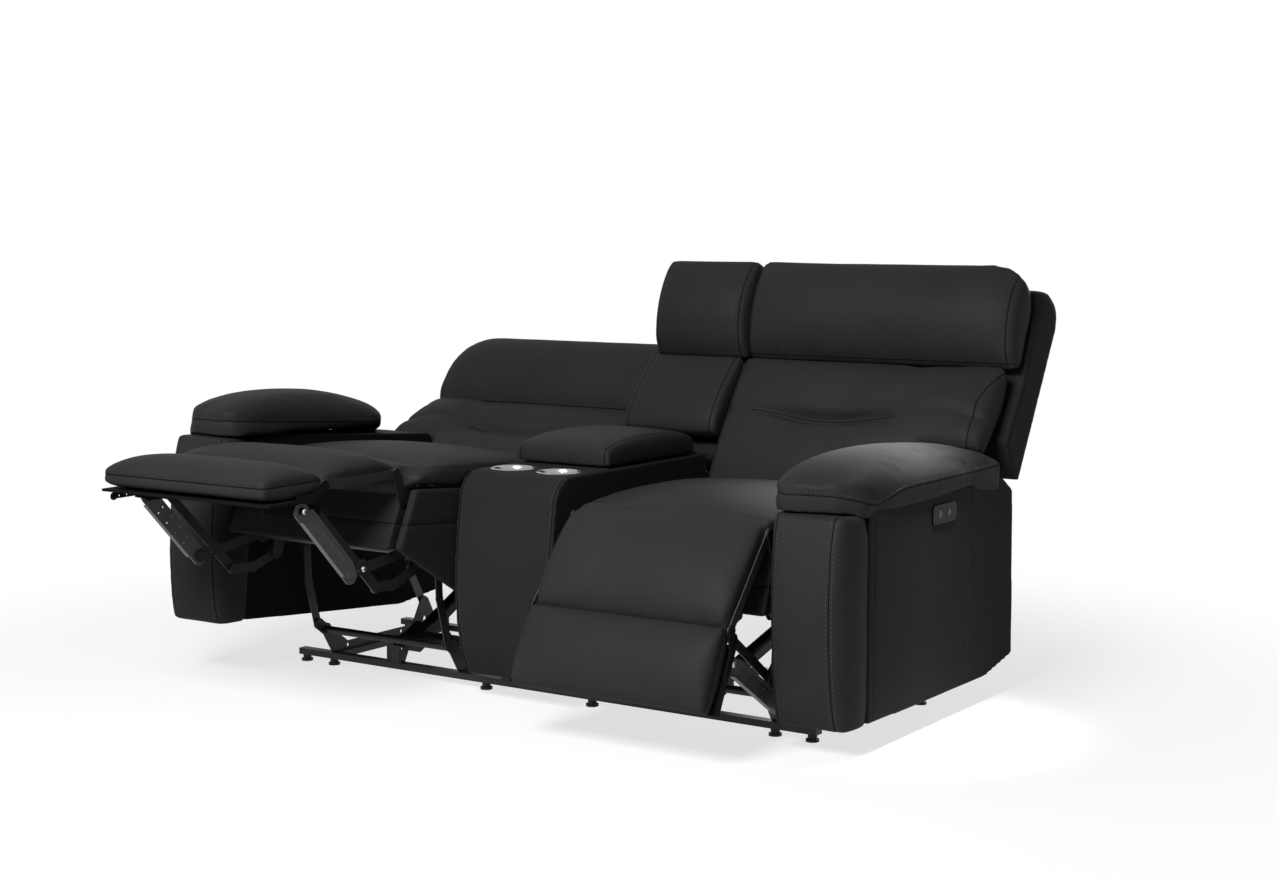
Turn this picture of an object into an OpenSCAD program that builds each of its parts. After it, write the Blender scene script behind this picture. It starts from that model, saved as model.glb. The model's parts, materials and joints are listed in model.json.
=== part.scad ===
// Power reclining loveseat with two seats and a storage console between them.
// X runs across the sofa, Y to its back, Z up. The left seat is drawn lying back with its
// leg rest up, the right seat upright with its leg rest part open. Each seat is described
// in its home position, upright and closed, and its mechanism then carries it.

/* [Overall] */
// Width of the console between the seats
console_w = 282; // [240:1:340]
// Width of one seat, from the console to its arm
seat_w = 564; // [500:1:640]
// Width of one arm
arm_w = 198; // [160:1:230]
// Height of the sofa's back above the floor
back_top = 1033; // [990:1:1080]
// Height of the seat cushion's underside
seat_z = 441; // [430:1:460]

/* [Rest positions] */
// How far the left seat lies back, 0 upright and 1 flat
left_lie = 1; // [0:0.05:1]
// How far the right seat lies back
right_lie = 0; // [0:0.05:1]
// Left leg rest, from 20 closed to 85 open
left_leg = 85; // [20:1:85]
// Right leg rest
right_leg = 40; // [20:1:85]

/* [Glide linkage] */
// Swing of the front glide links from upright to lying back
front_swing = 58.3; // [50:0.1:62]
// Tilt that the seat takes as it glides forward
seat_tilt = 4.5; // [2:0.1:6]
// Length of a front glide link
front_link_l = 214.6; // [200:0.1:230]
// Lean of the upright front link, from level
front_lean = 41; // [36:0.5:46]
// Length of a rear glide link
rear_link_l = 181; // [170:0.5:190]
// Lean of the upright rear link, from level
rear_lean = 44.1; // [40:0.1:48]
// Swing of the rear glide links
rear_swing = 68.4; // [60:0.1:75]
// Recline of the back on the seat
recline = 26; // [15:1:30]

/* [Leg rest] */
// How far the leg rest stands in from each side of its seat
leg_inset = 25; // [15:1:60]
// Upper leg pad, from the seat hinge to the middle hinge
leg_upper = 240; // [220:1:260]
// Lower leg pad, from the middle hinge down
leg_lower = 190; // [170:1:230]
// Length of the crank link
crank_l = 200; // [190:1:205]
// Length of the channel link
channel_l = 227.3; // [222:0.1:235]
// Share of the crank link at which the long link crosses it
cross_at = 0.7513; // [0.7:0.0001:0.8]
// Tail of the long link past the crank
tail_l = 69.9; // [60:0.1:80]

/* [Steel] */
// Thickness of a link plate
plate_t = 3; // [2.5:0.5:4]
// Radius of a link pivot pin
pin_r = 5; // [4:0.5:6]
// Radius of a link's round eye
eye_r = 13; // [11:0.5:15]
// Radius of the cross tubes
tube_r = 9.5; // [8:0.5:11]
// Thickness of the floor rails
rail_t = 16; // [12:1:20]
// Width of the floor rails
rail_w = 25; // [20:1:30]
// Height of the floor glides
glide_h = 17; // [12:1:22]
// Radius of the floor glides
glide_r = 15; // [12:1:18]

/* [Console] */
// Radius of a cup well's bore
cup_r = 45; // [40:0.5:48]
// Depth of a cup well
cup_d = 72; // [50:1:90]
// Radius of a cup well's flange
cup_rim_r = 55; // [50:0.5:60]
// Width of the storage bin
bin_w = 196; // [150:1:220]
// Length of the storage bin
bin_l = 280; // [200:1:300]
// Depth of the storage bin
bin_d = 230; // [150:1:300]
// Thickness of the padded lid at its middle
lid_t = 72; // [60:1:80]

/* [Controls] */
// Length of the switch panel
switch_l = 112; // [100:1:130]
// Height of the switch panel
switch_h = 36; // [32:1:44]
// Radius of a push button
button_r = 11; // [9:0.5:13]
// Travel of a push button
button_travel = 2.5; // [1.5:0.5:4]

/* [Hidden] */
$fn = 48;
LEFT = -1;
RIGHT = 1;
SEAT_PIECES = ["front_links", "rear_links", "side_plates", "seat_frame", "seat_springs", "seat_cushion",
    "seat_apron", "arm_box", "arm_bolster", "arm_pad", "switch_panel", "open_button", "close_button",
    "back_shell", "back_cushion", "headrest", "back_hinges", "leg_pad", "footrest_board", "footrest_pad",
    "crank_link", "long_link", "tie_link", "channel_link", "motor", "carriage"];

// Clearances
run_gap = 0.08;      // a pin in its bore
soft_gap = 0.4;      // a cushion beside its neighbour
side_gap = 5;        // seat to console
plate_gap = 2;       // between link layers

// Places across one seat, measured from the middle of the sofa
console_x = console_w / 2;
seat_x0 = console_x + side_gap;
seat_x1 = seat_x0 + seat_w;
arm_x0 = seat_x1 + 1;
arm_x1 = arm_x0 + arm_w;
leg_half = seat_w / 2 - leg_inset;
mech_x = seat_x1 - leg_half - 8; // middle of the mechanism, off centre to leave room for the side skirt
plate_x = leg_half - 39;         // inner face of a side plate, from the middle
swing_x = plate_x - plate_gap - 1 - plate_t;
stand_x = swing_x - plate_gap - 1 - plate_t;
tie_x = plate_x + plate_t + plate_gap + 1;
long_x = tie_x + plate_t + plate_gap;
crank_x = long_x + plate_t + plate_gap;
channel_x = crank_x + plate_t + plate_gap;
channel_deep = 13;
strap_x = leg_half - 3.5;        // outer ends of the upper pad carry the hinge straps
lug_x = strap_x + plate_t + 1;
rail_out = strap_x + plate_t + 1.5;

// Places along and up, [y, z] in the home position. The origin lies under the middle.
shift_y = 182;
floor_z = glide_h;
rail_top = floor_z + rail_t;
front_rail_y = -331;
rear_rail_y = 143;
front_low = [-375, 115];
rear_low = [37, 110];
front_top = front_low + front_link_l * [cos(front_lean), sin(front_lean)];
rear_top = rear_low + rear_link_l * [cos(rear_lean), sin(rear_lean)];
back_pivot = [100, 370];
front_tube = [-348, 97];
leg_hinge = [-430, seat_z + 27];
crank_pivot = [-360, 284.4];
tie_pivot = [-312.2, 236.9];
bracket_low = [59.2, 50.5];      // channel pivot, down the lower pad and behind it
bracket_high = [5, 53.6];        // long link's pivot
frame_z0 = seat_z - 106;
frame_z1 = seat_z - 11;

// Motor: its clevis on the front rail, and the tube on the rear links that it drives
motor_pivot = [-296, 78];
drive_at = 120;
drive_home = rear_low + drive_at * [cos(rear_lean), sin(rear_lean)];
drive_lie = rear_low + drive_at * [cos(rear_lean + rear_swing), sin(rear_lean + rear_swing)];
rail_drop = 26;                  // rail below the line from clevis to drive tube
rail_l = dist(motor_pivot, drive_home) + 35;

function lie(side) = side == LEFT ? left_lie : right_lie;
function leg(side) = side == LEFT ? left_leg : right_leg;
function dist(a, b) = norm(b - a);
function heading(a, b) = atan2(b[1] - a[1], b[0] - a[0]);
function turn(v, a) = [v[0] * cos(a) - v[1] * sin(a), v[0] * sin(a) + v[1] * cos(a)];
function lerp(a, b, t) = a + (b - a) * t;
// Where circles around a and b meet, on the left of the way from a to b
function meet(a, ra, b, rb) =
    let (d = dist(a, b), k = (ra * ra - rb * rb + d * d) / (2 * d), u = (b - a) / d)
    a + k * u + sqrt(max(0, ra * ra - k * k)) * [-u[1], u[0]];

// Leg rest positions for an upper pad angle
function lower_angle(a) = (a - 20) * 85 / 65;
function hang(a, p) = turn([p[1], -p[0]], -a);   // p = [down the pad, behind it]
function leg_mid(a) = leg_hinge + hang(a, [leg_upper, 0]);
function channel_top(a) = leg_mid(a) + hang(lower_angle(a), bracket_low);
function long_top(a) = leg_mid(a) + hang(lower_angle(a), bracket_high);
function crank_end(a) = meet(crank_pivot, crank_l, channel_top(a), channel_l);
function cross_pin(a) = crank_pivot + cross_at * (crank_end(a) - crank_pivot);
long_l = dist(cross_pin(85), long_top(85));
function tail_end(a) = cross_pin(a) - tail_l * (long_top(a) - cross_pin(a)) / dist(cross_pin(a), long_top(a));
tie_l = dist(tie_pivot, tail_end(85));

// Carriers: what is drawn at home goes where the mechanism holds it
module seat_side(side) {
    translate([0, shift_y, 0]) mirror([side == LEFT ? 1 : 0, 0, 0]) children();
}
module turned(p, a) {
    translate([0, p[0], p[1]]) rotate([a, 0, 0]) translate([0, -p[0], -p[1]]) children();
}
module on_body(side) {
    t = lie(side);
    to = front_low + front_link_l * [cos(front_lean + front_swing * t), sin(front_lean + front_swing * t)];
    seat_side(side) translate([0, to[0], to[1]]) rotate([-seat_tilt * t, 0, 0])
        translate([0, -front_top[0], -front_top[1]]) children();
}
module on_back(side) {
    on_body(side) turned(back_pivot, -recline * lie(side)) children();
}
// Leg pads are drawn hanging from their own hinge at the origin
module on_upper_pad(side) {
    on_body(side) translate([0, leg_hinge[0], leg_hinge[1]]) rotate([-leg(side), 0, 0]) children();
}
module on_lower_pad(side) {
    on_upper_pad(side) translate([0, 0, -leg_upper]) rotate([leg(side) - lower_angle(leg(side)), 0, 0])
        children();
}

// Flat work: outlines are [y, z], and run in X from x0 to x1
module slab(x0, x1) {
    translate([x0, 0, 0]) rotate([90, 0, 90]) linear_extrude(x1 - x0) children();
}
module rod(x0, x1, p, r) {
    translate([x0, p[0], p[1]]) rotate([0, 90, 0]) cylinder(h = x1 - x0, r = r);
}
module spot(p, r) {
    translate(p) circle(r);
}
module bar(a, b, w) {
    translate(a) rotate(heading(a, b)) translate([0, -w / 2]) square([dist(a, b), w]);
}
// A bar with round eyes at both ends
module strap(a, b, w, r = eye_r) {
    bar(a, b, w);
    spot(a, r);
    spot(b, r);
}
module both_sides() {
    for (m = [0, 1]) translate([mech_x, 0, 0]) mirror([m, 0, 0]) children();
}
// Cushions. The middle line runs [y, z] from one sewn edge to the other, front and rear are
// the thicknesses on its two sides, and every section is drawn in towards the ends.
STATIONS = [0, 0.01, 0.03, 0.07, 0.2, 0.35, 0.5, 0.65, 0.8, 0.88, 0.93, 0.97, 0.99, 1];
BACK_STATIONS = [0, 0.01, 0.03, 0.07, 0.2, 0.35, 0.5, 0.65, 0.71, 0.765, 0.85, 0.93, 0.97, 0.99, 1];
NO_DENT = [-1, 0, 0, 0];
// Share of the full thickness at a station, from its end value
function fill_at(s, f) = 1 - (1 - f) * corner(min(s, 1 - s), 0.07);
// A rounded corner: 1 at the edge, and nothing from w inwards
function corner(e, w) = e >= w ? 0 : 1 - sqrt(1 - pow(1 - e / w, 2));
function crown_at(s) = sqrt(max(0, 1 - pow(abs(2 * s - 1), 2.6)));
function normal_at(m, i) = let (a = m[max(i - 1, 0)], b = m[min(i + 1, len(m) - 1)], d = (b - a) / dist(a, b))
    [-d[1], d[0]];
// A dent is [point, from, to, depth].
module cushion(x0, x1, lines, front, rear, crown = 18, dent = NO_DENT, end_fill = 0.6, stations = STATIONS) {
    n = len(front);
    k = len(stations);
    function swell(i) = sin(180 * (i + 0.5) / n);
    function cut(i, s) = i == dent[0] && s > dent[1] && s < dent[2] ? dent[3] : 0;
    pts = [for (s = stations) let (m = lines(s), f = fill_at(s, end_fill))
        for (j = [0 : 2 * n - 1])
            let (i = j < n ? j : 2 * n - 1 - j,
                 q = j < n ? (front[i] + crown * crown_at(s) * swell(i)) * f - cut(i, s) : -rear[i] * f,
                 p = m[i] + normal_at(m, i) * q)
            [lerp(x0, x1, s), p[0], p[1]]];
    rings = [for (r = [0 : k - 2]) for (j = [0 : 2 * n - 1])
        let (jn = (j + 1) % (2 * n), a = r * 2 * n, b = a + 2 * n)
        each [[a + j, a + jn, b + j], [a + jn, b + jn, b + j]]];
    caps = [for (e = [0, 1]) let (o = e * (k - 1) * 2 * n) for (i = [0 : n - 2])
        let (a = o + i, b = o + i + 1, c = o + 2 * n - 2 - i, d = o + 2 * n - 1 - i)
        each (e == 0 ? [[a, d, b], [b, d, c]] : [[a, b, d], [b, c, d]])];
    polyhedron(points = pts, faces = concat(rings, caps), convexity = 6);
}

// Floor frame
function rail_end(y) = arm_x0 + (y < 0 ? 55 : 95);
module base_half() {
    for (y = [front_rail_y, rear_rail_y - rail_w])
        translate([console_x + 9, y, floor_z]) cube([rail_end(y) - console_x - 9, rail_w, rail_t]);
    for (m = [-1, 1])
        translate([mech_x + m * (stand_x + plate_t / 2) - rail_w / 2, front_rail_y + 1, floor_z])
            cube([rail_w, rear_rail_y - front_rail_y - 2, rail_t]);
    both_sides() difference() {
        union() {
            slab(stand_x, stand_x + plate_t) {
                translate([front_rail_y + 2, rail_top - 4])
                    square([rear_rail_y - front_rail_y - 4, 26]);
                strap(front_low, [front_rail_y + 60, rail_top + 4], 29, 15);
                strap(front_tube, [front_rail_y + 20, rail_top + 4], 33, 17);
                strap(rear_low, [rear_low[0] - 40, rail_top + 4], 34, 15);
                strap(rear_low, [rear_low[0] + 40, rail_top + 4], 34, 15);
            }
            rod(stand_x + 1, swing_x + plate_t + 2, front_low, pin_r);
            rod(stand_x + 1, swing_x + plate_t + 2, rear_low, pin_r);
            rod(swing_x + plate_t + 0.5, swing_x + plate_t + 3, front_low, pin_r + 3);
            rod(swing_x + plate_t + 0.5, swing_x + plate_t + 3, rear_low, pin_r + 3);
        }
        for (y = [-270, -170, -127, -60, 100])
            rod(stand_x - 1, stand_x + plate_t + 1, [y, rail_top + 11], 4.5);
    }
    rod(mech_x - stand_x - 1, mech_x + stand_x + 1, front_tube, tube_r);
    // Motor clevis on the front rail
    difference() {
        for (m = [-1, 1]) translate([mech_x, 0, 0]) slab(m * 17 - 2, m * 17 + 2) {
            spot(motor_pivot, 12);
            bar(motor_pivot, [front_rail_y + 12, rail_top + 2], 22);
            translate([front_rail_y + 1, rail_top - 2]) square([rail_w - 2, 34]);
        }
        rod(mech_x - 40, mech_x + 40, motor_pivot, pin_r + run_gap);
    }
    translate([mech_x - 23, front_rail_y + 2, rail_top - 1]) cube([46, 3, 44]);
}
module base_rails() {
    color("#1b1b1c") {
        seat_side(LEFT) base_half();
        seat_side(RIGHT) base_half();
        translate([0, shift_y, 0]) {
            for (y = [front_rail_y, rear_rail_y - rail_w])
                translate([-console_x - 10, y, floor_z]) cube([console_w + 20, rail_w, rail_t]);
            for (m = [-1, 1]) translate([m * 90 - rail_w / 2, front_rail_y + 1, floor_z])
                cube([rail_w, rear_rail_y - front_rail_y - 2, console_z0 - floor_z]);
        }
    }
}
module floor_glides() {
    color("#151515") translate([0, shift_y, 0])
        for (m = [-1, 1]) for (y = [front_rail_y + rail_w / 2, rear_rail_y - rail_w / 2])
            for (x = [console_x + 17, arm_x0 - 56, rail_end(y) - 17])
                translate([m * x, y, 0]) {
                    cylinder(h = glide_h, r = glide_r * 0.7);
                    cylinder(h = 6, r = glide_r);
                }
}

// Glide links. A rear link's upper pivot is the open one: it has a rivet head and no bore.
module glide_links(low, high, rear) {
    both_sides() difference() {
        union() {
            slab(swing_x, swing_x + plate_t) {
                knee = lerp(low, high, 0.55) + 12 * normal_at([low, high], 0);
                strap(low, knee, 24, eye_r);
                strap(knee, high, 24, eye_r);
            }
            if (rear) rod(swing_x - 2.5, swing_x + 0.5, high, pin_r + 3);
        }
        rod(swing_x - 1, swing_x + plate_t + 1, low, pin_r + run_gap);
        if (!rear) rod(swing_x - 1, swing_x + plate_t + 1, high, pin_r + run_gap);
    }
    if (rear) rod(mech_x - swing_x - 1, mech_x + swing_x + 1, drive_home, tube_r);
}
module front_links(side) {
    color("#2a2a2c") seat_side(side) turned(front_low, front_swing * lie(side))
        glide_links(front_low, front_top, false);
}
module rear_links(side) {
    color("#2a2a2c") seat_side(side) turned(rear_low, rear_swing * lie(side))
        glide_links(rear_low, rear_top, true);
}

// Seat structure
module side_plates(side) {
    color("#232325") on_body(side) both_sides() {
        difference() {
            slab(plate_x, plate_x + plate_t) {
                translate([-350, frame_z0 - 30]) square([460, 62]);
                strap(front_top, [-240, frame_z0], 44, 20);
                strap(front_top, [-170, frame_z0], 44, 20);
                strap(crank_pivot, [-330, frame_z0], 40, 18);
                strap(tie_pivot, [-290, frame_z0], 36, 16);
                strap(rear_top, [120, frame_z0], 44, 18);
                strap(rear_top, [60, frame_z0], 44, 18);
                strap(back_pivot, [90, frame_z0], 44, 20);
            }
            rod(plate_x - 1, plate_x + plate_t + 1, crank_pivot, tube_r + run_gap);
            for (y = [-120, -60, 0]) rod(plate_x - 1, plate_x + plate_t + 1, [y, frame_z0 - 14], 5);
        }
        // Pins for the glide links inside, the tie link outside and the back hinge inside
        for (p = [front_top, rear_top]) rod(swing_x + plate_t + 0.5, plate_x + 1, p, pin_r + 2);
        rod(swing_x - 1, plate_x + 1, front_top, pin_r);
        rod(swing_x - 3.5, swing_x - 0.5, front_top, pin_r + 3);
        rod(plate_x + 1, tie_x + plate_t + 1, tie_pivot, pin_r);
        rod(plate_x + 1, tie_x - 0.5, tie_pivot, pin_r + 3);
        rod(swing_x - 1, plate_x + 1, back_pivot, pin_r + 2);
        rod(swing_x + plate_t + 0.5, plate_x + 1, back_pivot, pin_r + 6);
        rod(swing_x - 3.5, swing_x - 0.5, back_pivot, pin_r + 5);
    }
}
module seat_frame(side) {
    rail_in = plate_x + plate_t;
    color("#1f1c1a") on_body(side) {
        both_sides() {
            slab(rail_in, rail_out)
                polygon([[-385, frame_z0 + 20], [-350, frame_z0], [132, frame_z0], [132, frame_z1],
                         [-385, frame_z1]]);
            // Lug that holds the upper leg pad's strap
            slab(lug_x, lug_x + plate_t) {
                strap(leg_hinge, [-412, frame_z1 - 14], 22, 12);
                bar([-418, frame_z1 - 18], [-340, frame_z1 - 18], 30);
            }
            rod(strap_x - 0.2, lug_x + 1, leg_hinge, pin_r);
        }
        for (y = [-385, spring_y1 - 28]) translate([mech_x - rail_in - 1, y, frame_z1 - 58])
            cube([2 * rail_in + 2, 40, 58]);
    }
}
SPRING_WAVES = 8;
spring_y0 = -366;
spring_y1 = 62;
module seat_springs(side) {
    wave = 26;
    n = 12 * SPRING_WAVES;
    function mid_x(t) = wave * sin(360 * SPRING_WAVES * t);
    color("#8a8d90") on_body(side) for (k = [-2 : 2])
        translate([mech_x + k * (plate_x - 53) / 2, 0, frame_z1]) linear_extrude(4)
            polygon(concat(
                [for (i = [0 : n]) [mid_x(i / n) - 2.6, lerp(spring_y0, spring_y1, i / n)]],
                [for (i = [n : -1 : 0]) [mid_x(i / n) + 2.6, lerp(spring_y0, spring_y1, i / n)]]));
}
module seat_cushion(side) {
    y0 = -392;
    y1 = 172;
    n = 9;
    function line(s) = [for (i = [0 : n - 1]) [lerp(y0, y1, i / (n - 1)), seat_z + 24]];
    color("#1f1e1f") on_body(side) cushion(seat_x0 + 2, seat_x1 - 2, function(s) line(s),
        [14, 27, 31, 32, 32, 32, 31, 27, 16], [14, 27, 30.5, 30.5, 30.5, 30.5, 30.5, 27, 16], 22);
}
module seat_apron(side) {
    apron_half = strap_x + 2;
    z0 = frame_z0 - 44;
    color("#1b1b1c") on_body(side) {
        // Slanted front panel
        slab(mech_x - apron_half, mech_x + apron_half)
            polygon([[-398, seat_z - 8], [-385.4, seat_z - 8], [-385.4, frame_z0 + 14],
                     [-428, z0], [-448, z0], [-450, z0 + 4]]);
        // Side skirt next to the console
        slab(seat_x0 + 6, seat_x0 + 26)
            polygon([[-396, seat_z - 8], [110, seat_z - 8], [110, 330], [-60, 190], [-196, 170], [-436, z0],
                     [-446, z0 + 6]]);
        // Stretchers that carry the skirt on the seat rail
        for (y = [-340, -100, 80]) translate([seat_x0 + 25, y, frame_z0 + 30])
            cube([mech_x - rail_out - seat_x0 - 25, 24, 40]);
    }
}

// Arm
arm_top = seat_z + 87;
module arm_box(side) {
    color("#1c1c1d") on_body(side) difference() {
        union() {
            slab(arm_x0 + 8, arm_x1 - 3)
                polygon([[-352, 66], [229, 61], [388, 92], [377, arm_top - 36], [318, arm_top],
                         [-352, arm_top]]);
            // Bolts through to the side plate
            for (y = [-200, 0, 90]) rod(mech_x + rail_out, arm_x0 + 9, [y, frame_z0 + 40], 8);
        }
        translate([arm_x1 - 3 - switch_deep - 2, switch_mid[0] - switch_l / 2, switch_mid[1] - switch_h / 2])
            cube([switch_deep + 8, switch_l, switch_h]);
    }
}
module arm_bolster(side) {
    function line(s) = [for (i = [0 : 8]) let (t = i / 8)
        [lerp(-404, -414, t) - 8 * sin(180 * t), lerp(60, arm_top - 8, t)]];
    color("#1f1e1f") on_body(side) cushion(arm_x0 + 6, arm_x0 + 184, function(s) line(s),
        [34, 44, 46, 46, 46, 46, 46, 44, 36], [40, 55.4, 59.6, 62.6, 64.6, 64.7, 64.6, 62.6, 40], 18);
}
module arm_pad(side) {
    n = 11;
    // The front corner and the rear end are both drawn in on the seat side
    function line(s) = let (y0 = lerp(-452, -488, 1 - pow(1 - s, 2)), y1 = lerp(60, 300, pow(s, 0.6)))
        [for (i = [0 : n - 1]) let (t = i / (n - 1), y = lerp(y0, y1, t))
            [y, arm_top + 30 + 8 * sin(180 * t) - 6 * pow(1 - t, 6) - 10 * pow(max(0, y - 120) / 180, 2)]];
    color("#232223") on_body(side) cushion(arm_x0 - 9, arm_x1 + 3, function(s) line(s),
        [32, 43, 47, 48, 48, 47, 45, 42, 39, 34, 20],
        [22, 26, 29, 31, 31, 30, 28, 25, 19, 12, 7], 24, NO_DENT, 0.7);
}
switch_mid = [-2.5, 480];
switch_deep = 22;
function button_y(k) = switch_mid[0] + k * switch_l * 0.2;
module switch_panel(side) {
    x1 = arm_x1 - 3;
    color("#101011") on_body(side) difference() {
        union() {
            translate([x1 - switch_deep, switch_mid[0] - switch_l / 2 + soft_gap,
                       switch_mid[1] - switch_h / 2 + soft_gap])
                cube([switch_deep, switch_l - 2 * soft_gap, switch_h - 2 * soft_gap]);
            slab(x1, x1 + 3) {
                bezel_r = 12;
                rim = 4;
                inset = bezel_r - rim;
                translate(switch_mid - [switch_l / 2 - inset, switch_h / 2 + rim])
                    square([switch_l - 2 * inset, switch_h + 2 * rim]);
                translate(switch_mid - [switch_l / 2 + rim, switch_h / 2 - inset])
                    square([switch_l + 2 * rim, switch_h - 2 * inset]);
                for (a = [-1, 1]) for (b = [-1, 1])
                    spot(switch_mid + [a * (switch_l / 2 - inset), b * (switch_h / 2 - inset)], bezel_r);
            }
        }
        for (k = [-1, 1]) rod(x1 - 12, x1 + 4, [button_y(k), switch_mid[1]], button_r + 0.15);
    }
}
module push_button(side, k) {
    x1 = arm_x1 - 3;
    p = [button_y(k), switch_mid[1]];
    color("#2c2c2e") on_body(side) {
        rod(x1 - 12 + button_travel + 0.5, x1 + 2, p, button_r);
        rod(x1 + 2, x1 + 3.2, p, button_r - 1.5);
    }
}

// Back
module back_profile() {
    polygon([[212, 404], [300, 400], [421, 503], [658, 898], [656, 922], [640, 936], [604, 962], [540, 966],
             [492, 850], [441, 742], [318, 566]]);
}
module back_shell(side) {
    color("#1a1a1b") on_back(side) {
        slab(seat_x0 + 8, arm_x0 - 8) back_profile();
        slab(arm_x0 - 9, arm_x1 - 8) difference() {
            back_profile();
            polygon([[190, 380], [190, 640], [330, 640], [352, 600], [380, 545], [424, 508], [460, 380]]);
        }
    }
}
module back_cushion(side) {
    n = 11;
    x0 = seat_x0 - 2;
    x1 = arm_x1 - 30;
    // The part beside the arm starts higher, to pass over the arm pad
    function line(s) = let (r = min(1, max(0, (lerp(x0, x1, s) - (arm_x0 - 45)) / 40)),
                            a = lerp([202, 420], [284, 614], r))
        [for (i = [0 : n - 1]) let (t = i / (n - 1))
            lerp(a, [409.5, 762], t) - [9 * sin(180 * t) * (1 - r), 0]];
    color("#1f1e1f") on_back(side) cushion(x0, x1, function(s) line(s),
        [24, 36, 41, 43, 44, 44, 44, 43, 42, 40, 34],
        [14, 20, 24, 27, 29, 31, 33, 35, 34, 28, 14], 16, [6, 0.3, 0.7, 14], 0.7, BACK_STATIONS);
}
// A headrest's middle line, with its upper end lowered by drop for a round corner
function head_line(drop) = [for (i = [0 : 8]) let (t = i / 8)
    [lerp(436, 496, t) - 18 * sin(180 * t), lerp(784, back_top - 10, t) - drop * pow(t, 2.5)]];
HEAD_FRONT = [42, 46, 47, 47, 46, 44, 41, 36, 24];
HEAD_REAR = [17, 36, 47.6, 55.6, 60.6, 62.6, 59.5, 48, 26];
module headrest(side) {
    function drop(s) = 76 * corner(1 - s, 0.12) + 12 * corner(s, 0.02);
    color("#1f1e1f") on_back(side) cushion(seat_x0 - 2, arm_x1 - 14, function(s) head_line(drop(s)),
        HEAD_FRONT, HEAD_REAR, 14, NO_DENT, 0.75);
}
module back_hinges(side) {
    color("#2a2a2c") on_back(side) both_sides() difference() {
        union() {
            slab(swing_x, swing_x + plate_t) {
                strap(back_pivot, [180, 392], 34, 20);
                bar([170, 389], [300, 389], 22);
            }
            translate([swing_x - 24, 208, 396.4]) cube([26, 88, 3.5]);
        }
        rod(swing_x - 1, swing_x + plate_t + 1, back_pivot, pin_r + 2 + run_gap);
    }
}

// Leg rest. Down the pad is -Z and its face is -Y while it hangs.
module leg_cushion(half, top, bottom, bulge) {
    n = 10;
    function line(s) = [for (i = [0 : n - 1]) [0, lerp(bottom, top, i / (n - 1))]];
    cushion(mech_x - half, mech_x + half, function(s) line(s),
        [26, 35, 38, 39, 39, 39, 39, 38, 35, 26], [9, 16, 20, 22, 22, 22, 22, 22, 19, 10],
        bulge, NO_DENT, 0.75);
}
module leg_pad(side) {
    color("#1f1e1f") on_upper_pad(side) {
        leg_cushion(strap_x - soft_gap, 16, 5 - leg_upper, 12);
        both_sides() difference() {
            slab(strap_x, strap_x + plate_t) strap([0, 0], [0, -leg_upper], 20, 12);
            for (z = [0, -leg_upper])
                rod(strap_x - 1, strap_x + plate_t + 1, [0, z], pin_r + run_gap);
        }
    }
}
module footrest_pad(side) {
    color("#1f1e1f") on_lower_pad(side) leg_cushion(strap_x - soft_gap, -5, 4 - leg_lower, 12);
}
module footrest_board(side) {
    board_in = 22.8;
    board_t = 6;
    color("#1d1d1e") on_lower_pad(side) {
        translate([mech_x - lug_x - plate_t, board_in, -leg_lower + 12])
            cube([2 * (lug_x + plate_t), board_t, leg_lower - 36]);
        both_sides() {
            // Bracket for the channel and the long link
            difference() {
                slab(crank_x, crank_x + plate_t) {
                    spot(pad_point(bracket_low), eye_r);
                    spot(pad_point(bracket_high), eye_r);
                    bar(pad_point(bracket_low), pad_point(bracket_high), 22);
                    bar(pad_point(bracket_low), pad_point([100, 40]), 20);
                    bar(pad_point([94, 37]), pad_point([leg_lower - 24, 37]), 18);
                    spot(pad_point([leg_lower - 24, 40]), 9);
                }
                rod(crank_x - 1, crank_x + plate_t + 1, pad_point(bracket_high), pin_r + run_gap);
                for (u = [112, 128, leg_lower - 40])
                    rod(crank_x - 1, crank_x + plate_t + 1, pad_point([u, 40]), 2.6);
            }
            rod(crank_x, channel_x + plate_t + 1, pad_point(bracket_low), pin_r);
            rod(channel_x + plate_t + 0.5, channel_x + plate_t + 3, pad_point(bracket_low), pin_r + 3);
            // Lug that joins the upper pad's strap
            slab(lug_x, lug_x + plate_t) {
                spot([0, 0], 12);
                bar([0, 0], [12, -34], 20);
                bar([22, -30], [22, -90], 18);
            }
            rod(strap_x - 0.2, lug_x + 1, [0, 0], pin_r);
        }
    }
}
function pad_point(p) = [p[1], -p[0]];

// Leg rest links, drawn from one pivot along +Y and then turned into place
module link_at(side, p, a) {
    on_body(side) translate([0, p[0], p[1]]) rotate([a, 0, 0]) both_sides() children();
}
module crank_link(side) {
    a = leg(side);
    color("#2b2b2d") link_at(side, crank_pivot, heading(crank_pivot, crank_end(a))) {
        difference() {
            slab(crank_x, crank_x + plate_t) {
                strap([0, 0], [crank_l, 0], 24, 15);
                spot([cross_at * crank_l, -6], 17);
            }
            for (u = [0.84, 0.9]) rod(crank_x - 1, crank_x + plate_t + 1, [u * crank_l, 0], 2.6);
        }
        rod(0, crank_x + 1, [0, 0], tube_r);
        rod(plate_x + plate_t + 0.5, crank_x + 1, [0, 0], tube_r + 3);
        rod(crank_x + 1, crank_x + plate_t + 1.4, [crank_l, 0], pin_r + 3);
        rod(long_x - 1, crank_x + 1, [cross_at * crank_l, 0], pin_r);
        rod(long_x + plate_t + 0.4, crank_x + 1, [cross_at * crank_l, 0], pin_r + 3);
    }
}
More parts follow.
